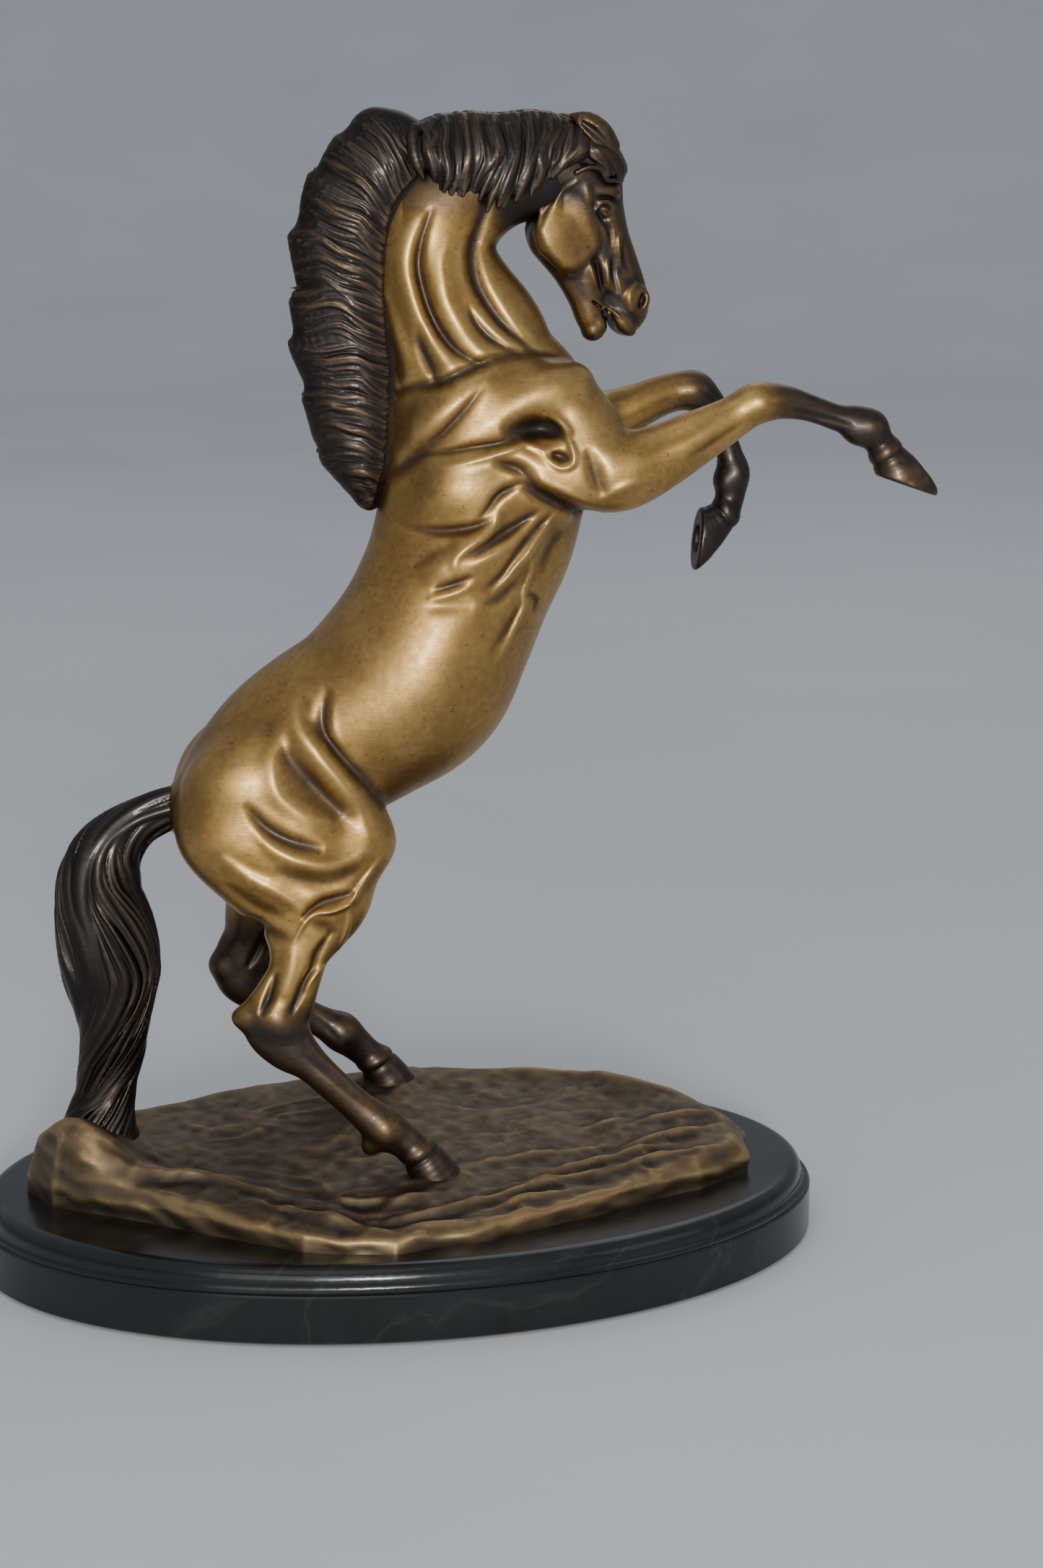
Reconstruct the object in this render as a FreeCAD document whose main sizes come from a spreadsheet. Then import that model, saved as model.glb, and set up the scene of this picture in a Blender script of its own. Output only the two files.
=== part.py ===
"""Bronze statuette of a rearing horse on a modelled ground, bolted to an oval marble plinth.

Units are millimetres. +Z is up and +X is the way the horse faces, so its right side is towards -Y.
The origin is the centre of the felt's underside, the face that the statuette rests on.

The horse is the usual lost-wax assembly: separate castings that meet on brazed seams. Each casting is a
loft through ribs. A rib is an ellipse that stands across the casting: it spans from one point of the
side outline to the opposite one, and its half width across the horse comes from the sheet.
"""

import FreeCAD, Part
import math
import os

Vector = FreeCAD.Vector

# Driving dimensions: alias, millimetres (or a plain share), what it is.
SIZES = [
    ("plinth_half_length", 134.0, "core oval of the plinth, along X, inside the moulding"),
    ("plinth_half_depth", 81.0, "core oval of the plinth, along Y, inside the moulding"),
    ("moulding_reach", 14.0, "how far the plinth's wall stands outside the core oval"),
    ("plinth_top", 25.5, "height of the marble's top face"),
    ("wall_top", 17.5, "height where the plinth's plain wall ends and its moulding starts"),
    ("felt_thick", 1.0, "thickness of the felt sheet"),
    ("felt_reach", 8.0, "how far the felt reaches outside the core oval, short of the wall"),
    ("stud_diameter", 6.0, "M6 threaded rod"),
    ("stud_clearance", 0.5, "extra diameter of the drilled holes in the marble"),
    ("stud_spread", 65.0, "distance of each stud from the plinth's centre"),
    ("stud_side", -5.0, "y of both studs, under the horse's mid plane"),
    ("stud_low", 2.5, "height of the stud's lower end"),
    ("stud_high", 35.0, "height of the stud's upper end, inside the ground's boss"),
    ("counterbore_diameter", 20.0, "recess for washer and nut under the marble"),
    ("counterbore_top", 10.0, "height of the recess's roof"),
    ("washer_diameter", 16.0, "M6 washer"),
    ("washer_thick", 1.6, "M6 washer"),
    ("nut_circumradius", 5.77, "M6 nut, 10 mm across its flats"),
    ("nut_thick", 5.0, "M6 nut"),
    ("boss_diameter", 14.0, "boss under the ground casting"),
    ("boss_top", 37.5, "height where the bosses join the ground's skin"),
    ("ground_wall", 4.0, "skin of the ground casting"),
    ("casting_wall", 4.0, "skin of the torso and neck castings"),
    ("barrel_width", 32.0, "half width of the barrel"),
    ("neck_width", 16.0, "half width of the neck's lower half"),
    ("head_width", 11.0, "half width of the head across the jowls"),
    ("thigh_width", 14.0, "half width of the thigh"),
    ("arm_width", 9.5, "half width of the upper foreleg"),
    ("cannon_width", 4.4, "half width of the cannon bones"),
    ("hoof_width", 7.0, "half width of a hoof"),
    ("tail_width", 10.0, "half width of the tail's brush"),
    ("mane_width", 9.0, "half width of the blown mane"),
]

MID_PLANE = -5.0  # y of the horse's mid plane: it stands a little to its right of the plinth's centre line

RIB_POINTS = 12  # points that each rib is drawn through

# Ribs: (x, z) of the upper or rear end, (x, z) of the lower or front end, y of the middle, width cell, share.
HINDQUARTERS = [
    ((-80, 163), (-78, 153), MID_PLANE, "barrel_width", 0.15),
    ((-76, 173), (-66, 141), MID_PLANE, "barrel_width", 0.50),
    ((-66, 187), (-49, 136), MID_PLANE, "barrel_width", 0.80),
    ((-50, 203), (-26, 145), MID_PLANE, "barrel_width", 0.90),
    ((-36, 215), (-3, 159), MID_PLANE, "barrel_width", 0.96),
    ((-22, 225), (20, 172), MID_PLANE, "barrel_width", 1.00),
]
FOREQUARTERS = [
    HINDQUARTERS[-1],
    ((-15, 237), (38, 195), MID_PLANE, "barrel_width", 1.00),
    ((-10, 250), (50, 222), MID_PLANE, "barrel_width", 0.95),
    ((-8, 264), (62, 243), MID_PLANE, "barrel_width", 0.90),
    ((-5, 284), (69, 266), MID_PLANE, "barrel_width", 0.85),
    ((-4, 298), (66, 292), MID_PLANE, "barrel_width", 0.75),
    ((-5, 306), (56, 306), MID_PLANE, "neck_width", 1.20),
]
NECK = [
    FOREQUARTERS[-1],
    ((-7, 322), (47, 321), MID_PLANE, "neck_width", 1.03),
    ((-7, 338), (37, 336), MID_PLANE, "neck_width", 0.94),
    ((-4, 355), (35, 346), MID_PLANE, "neck_width", 0.88),
    ((8, 372), (38, 350), MID_PLANE, "neck_width", 0.80),
    ((26, 383), (42, 352), MID_PLANE, "neck_width", 0.72),
    ((46, 385), (46, 352), MID_PLANE, "neck_width", 0.66),
]
HEAD = [
    ((46, 385), (46, 352), MID_PLANE, "neck_width", 0.66),
    ((62, 385), (45, 346), -4.5, "head_width", 1.00),
    ((75, 374), (50, 341), -3.0, "head_width", 1.00),
    ((78, 361), (54, 337), -2.0, "head_width", 0.90),
    ((79, 350), (58, 331), -1.2, "head_width", 0.78),
    ((83, 340), (61, 325), -0.6, "head_width", 0.70),
    ((87, 330), (63, 319), 0.0, "head_width", 0.66),
    ((85, 321), (67, 314), 0.4, "head_width", 0.55),
    ((81, 317), (71, 313), 0.5, "head_width", 0.32),
]
RIGHT_HIND_LEG = [
    ((-60, 178), (-20, 190), -22, "thigh_width", 0.72),
    ((-72, 156), (-8, 172), -23, "thigh_width", 1.00),
    ((-67, 140), (-4, 154), -25, "thigh_width", 1.00),
    ((-54, 125), (-8, 138), -29, "thigh_width", 0.85),
    ((-48, 115), (-19, 123), -32, "thigh_width", 0.62),
    ((-50, 104), (-26, 108), -33, "thigh_width", 0.48),
    ((-58, 94), (-32, 97), -33, "thigh_width", 0.46),
    ((-54, 85), (-33, 90), -34, "thigh_width", 0.40),
    ((-40, 74), (-31, 83), -35, "cannon_width", 1.20),
    ((-24, 58), (-15, 67), -37, "cannon_width", 1.05),
    ((-11, 46), (-1, 54), -38, "cannon_width", 1.20),
    ((-5, 42), (9, 47), -39, "cannon_width", 1.35),
    ((-2, 34), (15, 34), -40, "hoof_width", 1.00),
]
LEFT_HIND_LEG = [
    ((-60, 178), (-20, 190), 12, "thigh_width", 0.72),
    ((-72, 156), (-10, 170), 13, "thigh_width", 1.00),
    ((-67, 141), (-12, 151), 15, "thigh_width", 1.00),
    ((-60, 128), (-22, 134), 18, "thigh_width", 0.80),
    ((-57, 117), (-32, 119), 21, "thigh_width", 0.62),
    ((-57, 105), (-37, 104), 23, "thigh_width", 0.48),
    ((-62, 92), (-41, 95), 25, "thigh_width", 0.46),
    ((-57, 83), (-41, 88), 26, "thigh_width", 0.40),
    ((-44, 76), (-36, 85), 27, "cannon_width", 1.20),
    ((-28, 64), (-21, 73), 29, "cannon_width", 1.05),
    ((-16, 55), (-8, 64), 30, "cannon_width", 1.20),
    ((-10, 50), (0, 58), 30, "cannon_width", 1.35),
    ((-9, 42), (9, 42), 31, "hoof_width", 1.00),
]
RIGHT_FORELEG = [
    ((36, 288), (42, 250), -22, "arm_width", 0.85),
    ((58, 297), (60, 253), -25, "arm_width", 1.05),
    ((72, 287), (73, 259), -27, "arm_width", 0.98),
    ((87, 289), (91, 269), -27, "arm_width", 0.84),
    ((100, 294), (104, 277), -27, "arm_width", 0.68),
    ((112, 299), (115, 286), -26, "arm_width", 0.60),
    ((122, 301), (124, 289), -26, "arm_width", 0.58),
    ((132, 299), (131, 288), -26, "cannon_width", 1.10),
    ((144, 295), (142, 286), -26, "cannon_width", 0.95),
    ((152, 293), (149, 284), -26, "cannon_width", 0.95),
    ((161, 290), (155, 280), -26, "cannon_width", 1.10),
    ((166, 284), (159, 276), -26, "cannon_width", 1.00),
    ((170, 279), (158, 271), -26, "hoof_width", 0.78),
    ((181, 264), (160, 268), -26, "hoof_width", 0.95),
]
LEFT_FORELEG = [
    ((36, 285), (42, 250), 12, "arm_width", 0.85),
    ((57, 295), (60, 256), 15, "arm_width", 1.05),
    ((72, 295), (77, 272), 17, "arm_width", 0.98),
    ((86, 299), (90, 283), 17, "arm_width", 0.76),
    ((98, 302), (101, 288), 17, "arm_width", 0.65),
    ((110, 302), (106, 289), 17, "arm_width", 0.60),
    ((118, 294), (108, 287), 17, "arm_width", 0.56),
    ((121, 285), (111, 281), 17, "cannon_width", 1.08),
    ((125, 274), (115, 272), 17, "cannon_width", 0.98),
    ((127, 265), (116, 264), 17, "cannon_width", 1.08),
    ((126, 254), (116, 257), 17, "cannon_width", 1.00),
    ((123, 246), (112, 255), 17, "hoof_width", 0.76),
    ((110, 235), (107, 252), 17, "hoof_width", 0.95),
]
TAIL = [
    ((-77, 165), (-76, 154), MID_PLANE, "tail_width", 0.50),
    ((-86, 164), (-83, 150), MID_PLANE, "tail_width", 0.60),
    ((-96, 161), (-88, 143), MID_PLANE, "tail_width", 0.72),
    ((-107, 154), (-90, 136), MID_PLANE, "tail_width", 0.85),
    ((-115, 141), (-89, 131), MID_PLANE, "tail_width", 0.95),
    ((-116, 125), (-86, 123), MID_PLANE, "tail_width", 1.00),
    ((-115, 107), (-83, 108), MID_PLANE, "tail_width", 1.05),
    ((-113, 92), (-86, 93), MID_PLANE, "tail_width", 1.00),
    ((-111, 78), (-89, 78), MID_PLANE, "tail_width", 0.90),
    ((-110, 66), (-92, 66), MID_PLANE, "tail_width", 0.80),
    ((-112, 57), (-92, 57), MID_PLANE, "tail_width", 0.90),
    ((-116, 38), (-91, 38), MID_PLANE, "tail_width", 1.05),
]
BLOWN_MANE = [
    ((-11, 258), (-4, 259), MID_PLANE, "mane_width", 0.20),
    ((-22, 271), (0, 274), MID_PLANE, "mane_width", 0.60),
    ((-30, 290), (2, 290), MID_PLANE, "mane_width", 0.80),
    ((-34, 307), (0, 307), MID_PLANE, "mane_width", 0.90),
    ((-34, 321), (0, 323), MID_PLANE, "mane_width", 0.95),
    ((-34, 336), (0, 338), MID_PLANE, "mane_width", 1.00),
    ((-33, 351), (2, 348), MID_PLANE, "mane_width", 1.00),
    ((-27, 365), (6, 358), MID_PLANE, "mane_width", 1.00),
    ((-17, 381), (11, 367), MID_PLANE, "mane_width", 0.90),
    ((-5, 390), (14, 376), MID_PLANE, "mane_width", 0.70),
    ((8, 388), (16, 382), MID_PLANE, "mane_width", 0.35),
]
CREST_MANE = [
    ((8, 384), (6, 366), -9, "mane_width", 0.60),
    ((17, 388), (15, 358), -11, "mane_width", 1.05),
    ((31, 389), (30, 355), -11, "mane_width", 1.20),
    ((46, 390), (47, 357), -11, "mane_width", 1.15),
    ((58, 389), (58, 368), -9, "mane_width", 0.90),
]
FORELOCK = [
    ((56, 389), (56, 380), MID_PLANE, "mane_width", 0.45),
    ((66, 387), (61, 377), -4.5, "mane_width", 0.52),
    ((76, 379), (68, 369), -3.8, "mane_width", 0.60),
    ((80, 367), (71, 362), -3.4, "mane_width", 0.50),
    ((79, 360), (74, 359), -3.2, "mane_width", 0.20),
]

# The ground casting: its outline on the marble, and how far each point of the top's rim sits inside it.
GROUND_OUTLINE = [
    ((-131, -2), 3.0),
    ((-123, -20), 3.0),
    ((-98, -35), 4.0),
    ((-70, -55), 4.0),
    ((-42, -74), 4.0),
    ((-12, -82), 4.0),
    ((22, -74), 4.0),
    ((62, -58), 4.0),
    ((100, -42), 4.0),
    ((121, -27), 3.0),
    ((126, -4), 4.0),
    ((116, 22), 10.0),
    ((94, 44), 22.0),
    ((60, 60), 30.0),
    ((20, 68), 35.0),
    ((-25, 66), 35.0),
    ((-68, 56), 28.0),
    ((-104, 38), 14.0),
    ((-126, 16), 4.0),
]
GROUND_TOP_AT_CENTRE = 41.0  # height of the tilted top over the plinth's centre
GROUND_TOP_SLOPE = 0.12  # rise of the top towards +Y
GROUND_RIM_RISE = 4.0  # height of the steep rim above the marble, below the bevel to the top


def make_sheet(document):
    sheet = document.addObject("Spreadsheet::Sheet", "Sizes")
    for row, (alias, value, note) in enumerate(SIZES, start=1):
        sheet.set(f"A{row}", note)
        sheet.set(f"B{row}", str(value))
        sheet.setAlias(f"B{row}", alias)
    document.recompute()
    return sheet


def bind(item, **expressions):
    """Ties properties of a document object to cells of the sheet. A double underscore stands for a dot."""
    for name, expression in expressions.items():
        item.setExpression(name.replace("__", "."), expression)
    return item


def smooth_wire(points):
    """A smooth closed line through the points."""
    curve = Part.BSplineCurve()
    curve.interpolate(Points=points, PeriodicFlag=True)
    return Part.Wire([curve.toShape()])


def rib_poles(sheet, rib, wall):
    """Control points of one oval across a casting, or across its cavity if a wall thickness is given."""
    (x1, z1), (x2, z2), y, cell, share = rib
    swell = 3 / (2 + math.cos(2 * math.pi / RIB_POINTS))  # a cubic runs inside its control points
    half_span = (math.hypot(x2 - x1, z2 - z1) / 2 - wall) * swell
    half_width = (getattr(sheet, cell) * share - wall) * swell
    middle = Vector((x1 + x2) / 2, y, (z1 + z2) / 2)
    along = Vector(x1 - x2, 0, z1 - z2).normalize()
    turns = [2 * math.pi * i / RIB_POINTS for i in range(RIB_POINTS)]
    return [middle + along * (half_span * math.cos(t)) + Vector(0, half_width * math.sin(t), 0) for t in turns]


def loft_solid(sheet, ribs, wall=0.0):
    """A closed solid whose smooth side passes through every rib. Its widths and wall come from the sheet."""
    rows = [rib_poles(sheet, rib, wall) for rib in ribs]
    reaches = [0.0]
    for one, other in zip(rows, rows[1:]):
        reaches.append(reaches[-1] + sum(a.distanceToPoint(b) for a, b in zip(one, other)) / RIB_POINTS)
    columns = []
    for column in zip(*rows):
        curve = Part.BSplineCurve()
        curve.interpolate(Points=list(column), Parameters=reaches)
        columns.append(curve)
    first = columns[0]
    side = Part.BSplineSurface()
    side.buildFromPolesMultsKnots(
        [curve.getPoles() for curve in columns],
        [1] * (RIB_POINTS + 1),
        first.getMultiplicities(),
        [float(i) for i in range(RIB_POINTS + 1)],
        first.getKnots(),
        True,
        False,
        3,
        first.Degree,
    )
    ends = [Part.Face(Part.Wire([side.vIso(v).toShape()])) for v in (reaches[0], reaches[-1])]
    shell = Part.Shell([side.toShape(), *ends])
    shell.sewShape()
    solid = Part.Solid(shell)
    if solid.Volume < 0:
        solid.reverse()
    return solid


def make_loft(document, name, ribs, wall=0.0):
    loft = document.addObject("Part::Feature", name)
    loft.Shape = loft_solid(document.Sizes, ribs, wall)
    return loft


def make_cut(document, name, base, tool):
    cut = document.addObject("Part::Cut", name)
    cut.Base = base
    cut.Tool = tool
    return cut


def make_fuse(document, name, base, tool):
    fuse = document.addObject("Part::Fuse", name)
    fuse.Base = base
    fuse.Tool = tool
    return fuse


def make_pair(document, name, make_one):
    """Two equal fasteners as one compound, one on each stud. make_one takes a name and the x expression."""
    pair = document.addObject("Part::Compound", name)
    pair.Links = [
        make_one(f"{name}_rear", "-Sizes.stud_spread"),
        make_one(f"{name}_front", "Sizes.stud_spread"),
    ]
    return pair


def make_post(document, name, x, radius, low, high):
    """A vertical cylinder at a stud's place, from one height to another, all as expressions."""
    post = document.addObject("Part::Cylinder", name)
    bind(post, Radius=radius, Height=f"{high} - ({low})", Placement__Base__x=x)
    bind(post, Placement__Base__y="Sizes.stud_side", Placement__Base__z=low)
    return post


def make_posts(document, name, radius, low, high):
    return make_pair(document, name, lambda n, x: make_post(document, n, x, radius, low, high))


def oval_pad(document, name, reach, low, height):
    """A body padded from an oval sketch. reach (outside the core oval), low and height are expressions."""
    body = document.addObject("PartDesign::Body", name)
    sketch = body.newObject("Sketcher::SketchObject", f"{name}_oval")
    floor = next(f for f in body.Origin.OriginFeatures if f.Role == "XY_Plane")
    sketch.AttachmentSupport = [(floor, "")]
    sketch.MapMode = "FlatFace"
    bind(sketch, AttachmentOffset__Base__z=low)
    oval = sketch.addGeometry(Part.Ellipse(Vector(0, 0, 0), 134, 81), False)
    sketch.exposeInternalGeometry(oval)
    major, minor = 1, 2
    centre = 3
    sketch.addConstraint(Sketcher_constraint("Coincident", oval, centre, -1, 1))
    sketch.addConstraint(Sketcher_constraint("Horizontal", major))
    length = sketch.addConstraint(Sketcher_constraint("Distance", major, 280.0))
    depth = sketch.addConstraint(Sketcher_constraint("Distance", minor, 174.0))
    bind(sketch, **{f"Constraints[{length}]": f"2 * (Sizes.plinth_half_length + {reach})"})
    bind(sketch, **{f"Constraints[{depth}]": f"2 * (Sizes.plinth_half_depth + {reach})"})
    pad = body.newObject("PartDesign::Pad", f"{name}_pad")
    pad.Profile = sketch
    bind(pad, Length=height)
    document.recompute()
    return body


def Sketcher_constraint(*words):
    import Sketcher

    return Sketcher.Constraint(*words)


def arc(start, middle, end):
    return Part.Arc(Vector(*start), Vector(*middle), Vector(*end)).toShape()


def line(start, end):
    return Part.makeLine(Vector(*start), Vector(*end))


def moulding_profile(sheet):
    """The plinth's edge in section, outside the core oval: plain wall, quirk, hollow cove, round, top."""
    inner = sheet.plinth_half_length
    outer = inner + sheet.moulding_reach
    low, wall, top = sheet.felt_thick, sheet.wall_top, sheet.plinth_top
    arris = 0.6
    lip = outer - 1.4
    cove_x, cove_z = outer - 3.2, wall + 2.2
    round_x, round_z = outer - 3.2, wall + 3.0
    radius = top - round_z
    slant = math.sqrt(0.5)
    edges = [
        line((inner, 0, low), (outer - arris, 0, low)),
        line((outer - arris, 0, low), (outer, 0, low + arris)),
        line((outer, 0, low + arris), (outer, 0, wall - arris)),
        line((outer, 0, wall - arris), (outer - arris, 0, wall)),
        line((outer - arris, 0, wall), (lip, 0, wall)),
        arc((lip, 0, wall), (cove_x + 0.45, 0, wall + 0.75), (cove_x, 0, cove_z)),
        line((cove_x, 0, cove_z), (round_x, 0, round_z)),
        arc(
            (round_x, 0, round_z),
            (round_x - radius * (1 - slant), 0, round_z + radius * slant),
            (round_x - radius, 0, top),
        ),
        line((round_x - radius, 0, top), (inner, 0, top)),
        line((inner, 0, top), (inner, 0, low)),
    ]
    return Part.Wire(Part.__sortEdges__(edges))


def make_plinth(document, sheet):
    """Oval marble slab with a moulded edge, two stud holes and a recess under each for the nut."""
    core = oval_pad(document, "plinth_core", "0", "Sizes.felt_thick", "Sizes.plinth_top - Sizes.felt_thick")
    edge_profile = document.addObject("Part::Feature", "moulding_profile")
    edge_profile.Shape = moulding_profile(sheet)
    edge_path = document.addObject("Part::Ellipse", "moulding_path")
    bind(
        edge_path,
        MajorRadius="Sizes.plinth_half_length",
        MinorRadius="Sizes.plinth_half_depth",
        Placement__Base__z="Sizes.felt_thick",
    )
    document.recompute()
    moulding = document.addObject("Part::Sweep", "moulding")
    moulding.Sections = [edge_profile]
    moulding.Spine = (edge_path, ["Edge1"])
    moulding.Solid = True
    moulding.Frenet = False
    slab = make_fuse(document, "plinth_slab", core, moulding)
    holes = make_posts(
        document,
        "plinth_holes",
        "(Sizes.stud_diameter + Sizes.stud_clearance) / 2",
        "0",
        "Sizes.plinth_top + 1",
    )
    recesses = make_posts(
        document, "plinth_recesses", "Sizes.counterbore_diameter / 2", "0", "Sizes.counterbore_top"
    )
    drilled = make_cut(document, "plinth_drilled", slab, holes)
    return make_cut(document, "marble_plinth", drilled, recesses)


def moved_in(distance, extra=0.0):
    """The ground's outline, each point moved towards the middle by its own inset, then by a fixed one."""
    moved = []
    for (x, y), inset in GROUND_OUTLINE:
        reach = math.hypot(x, y)
        share = (reach - inset * distance - extra) / reach
        moved.append((x * share, y * share))
    return moved


def top_height(y):
    return GROUND_TOP_AT_CENTRE + GROUND_TOP_SLOPE * y


def ground_loft(document, name, sheet, wall):
    """The ground's outer form, or with a wall its cavity. It reads its sizes from the sheet."""
    base = sheet.plinth_top
    rim = base + GROUND_RIM_RISE
    levels = [
        [Vector(x, y, base) for x, y in moved_in(0.0, wall)],
        [Vector(x, y, rim) for x, y in moved_in(0.25, wall)],
        [Vector(x, y, top_height(y) - wall) for x, y in moved_in(1.0, wall)],
    ]
    form = document.addObject("Part::Feature", name)
    form.Shape = Part.makeLoft([smooth_wire(points) for points in levels], True, True)
    return form


def make_ground(document, sheet):
    """The modelled ground: a skin, open underneath, with a tapped boss for each stud."""
    outer = ground_loft(document, "ground_outer", sheet, 0.0)
    cavity = ground_loft(document, "ground_cavity", sheet, sheet.ground_wall)
    skin = make_cut(document, "ground_skin", outer, cavity)
    bosses = make_posts(
        document, "ground_bosses", "Sizes.boss_diameter / 2", "Sizes.plinth_top", "Sizes.boss_top"
    )
    bossed = make_fuse(document, "ground_bossed", skin, bosses)
    taps = make_posts(
        document, "ground_taps", "Sizes.stud_diameter / 2", "Sizes.plinth_top - 1", "Sizes.stud_high"
    )
    return outer, make_cut(document, "ground_casting", bossed, taps)


def make_felt(document):
    return oval_pad(document, "felt_pad", "Sizes.felt_reach", "0", "Sizes.felt_thick")


def make_washers(document):
    low = "Sizes.counterbore_top - Sizes.washer_thick"
    discs = make_posts(document, "washer_discs", "Sizes.washer_diameter / 2", low, "Sizes.counterbore_top")
    holes = make_posts(document, "washer_holes", "Sizes.stud_diameter / 2 + 0.2", "0", "Sizes.plinth_top")
    return make_cut(document, "stud_washers", discs, holes)


def make_nuts(document):
    def hexagon(name, x):
        nut = document.addObject("Part::Prism", name)
        nut.Polygon = 6
        bind(nut, Circumradius="Sizes.nut_circumradius", Height="Sizes.nut_thick", Placement__Base__x=x)
        top = "Sizes.counterbore_top - Sizes.washer_thick - Sizes.nut_thick"
        bind(nut, Placement__Base__y="Sizes.stud_side", Placement__Base__z=top)
        return nut

    blanks = make_pair(document, "nut_blanks", hexagon)
    holes = make_posts(document, "nut_holes", "Sizes.stud_diameter / 2", "0", "Sizes.plinth_top")
    return make_cut(document, "stud_nuts", blanks, holes)


def make_studs(document):
    return make_posts(
        document, "threaded_studs", "Sizes.stud_diameter / 2", "Sizes.stud_low", "Sizes.stud_high"
    )


def hollow_loft(document, label, ribs, open_first, open_last):
    """A cored casting. Its cavity leaves out the ribs at a closed end, and runs through an open one."""
    outer = make_loft(document, f"{label}_outer", ribs)
    first = 0 if open_first else 1
    last = len(ribs) if open_last else len(ribs) - 1
    core = make_loft(document, f"{label}_core", ribs[first:last], document.Sizes.casting_wall)
    return outer, make_cut(document, label, outer, core)


def trim(document, label, form, tools):
    """Cuts other castings' outer forms away from a form, one after another."""
    for number, tool in enumerate(tools[:-1]):
        form = make_cut(document, f"{label}_trim_{number}", form, tool)
    return make_cut(document, label, form, tools[-1])


def trimmed_loft(document, label, ribs, tools):
    return trim(document, label, make_loft(document, f"{label}_form", ribs), tools)


def make_horse(document, ground):
    """Every casting of the horse. Where two meet, one is trimmed to the other's outer surface."""
    hind_form, hind = hollow_loft(document, "hindquarters", HINDQUARTERS, False, True)
    fore_form, fore = hollow_loft(document, "forequarters", FOREQUARTERS, True, True)
    neck_form, neck = hollow_loft(document, "neck_casting", NECK, True, False)
    head = make_loft(document, "head_casting", HEAD)
    forms = {
        "right_hind_leg": (RIGHT_HIND_LEG, [ground, hind_form]),
        "left_hind_leg": (LEFT_HIND_LEG, [ground, hind_form]),
        "right_foreleg": (RIGHT_FORELEG, [fore_form]),
        "left_foreleg": (LEFT_FORELEG, [fore_form]),
        "tail": (TAIL, [ground, hind_form]),
    }
    trimmed = [trimmed_loft(document, label, ribs, tools) for label, (ribs, tools) in forms.items()]
    crest_form = make_loft(document, "crest_mane_form", CREST_MANE)
    blown_form = make_loft(document, "blown_mane_form", BLOWN_MANE)
    trimmed.append(trim(document, "blown_mane", blown_form, [neck_form, fore_form]))
    trimmed.append(trim(document, "crest_mane", crest_form, [neck_form, head, blown_form]))
    trimmed.append(trimmed_loft(document, "forelock", FORELOCK, [head, crest_form]))
    return [hind, fore, neck, head, *trimmed]


def check(document, pieces):
    for item in document.Objects:
        if "Invalid" in item.State or "Error" in item.State:
            raise RuntimeError(f"{item.Name} failed: {item.State}")
    for piece in pieces:
        shape = piece.Shape
        if shape.isNull() or not shape.isValid() or not shape.Solids:
            raise RuntimeError(f"{piece.Name} has no valid solid")
        print(f"{piece.Label}: {len(shape.Solids)} solid(s), {shape.Volume / 1000:.1f} cm3")


def main():
    document = FreeCAD.newDocument("rearing_horse")
    sheet = make_sheet(document)
    ground_form, ground = make_ground(document, sheet)
    pieces = [make_plinth(document, sheet), ground, make_felt(document)]
    pieces += [make_studs(document), make_nuts(document), make_washers(document)]
    pieces += make_horse(document, ground_form)
    document.recompute()
    check(document, pieces)
    os.makedirs("parts", exist_ok=True)
    for piece in pieces:
        piece.Shape.exportStep(f"parts/{piece.Label}.step")


main()
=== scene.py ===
import math

import bmesh
import bpy
import numpy as np
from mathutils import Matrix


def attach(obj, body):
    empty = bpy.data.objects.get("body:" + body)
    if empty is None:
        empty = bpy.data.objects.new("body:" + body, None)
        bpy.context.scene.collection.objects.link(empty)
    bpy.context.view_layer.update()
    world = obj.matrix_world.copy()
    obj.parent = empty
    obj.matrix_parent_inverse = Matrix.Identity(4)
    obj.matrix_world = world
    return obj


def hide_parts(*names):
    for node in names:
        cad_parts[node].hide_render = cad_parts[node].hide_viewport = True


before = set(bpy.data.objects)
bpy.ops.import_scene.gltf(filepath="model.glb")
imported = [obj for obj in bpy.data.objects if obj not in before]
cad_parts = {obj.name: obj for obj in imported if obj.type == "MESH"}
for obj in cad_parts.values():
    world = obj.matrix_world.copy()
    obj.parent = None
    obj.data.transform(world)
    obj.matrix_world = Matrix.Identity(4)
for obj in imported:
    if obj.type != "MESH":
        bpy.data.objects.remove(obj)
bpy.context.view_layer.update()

import openvdb
from mathutils import Vector

# The metal is modelled as clay: a distance field on a grid, in millimetres, in the CAD's frame. Masses are
# joined softly, creases are pressed in, and the surface is then drawn as a mesh. The horse faces +X, its
# right side is towards -Y, and MID is the y of its mid plane.

MID = -5.0
FAR = 24.0  # the field's value well outside the metal
OUTER = 60.0  # farther from the mid plane than any of the horse
MM = 0.001  # in metres


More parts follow.
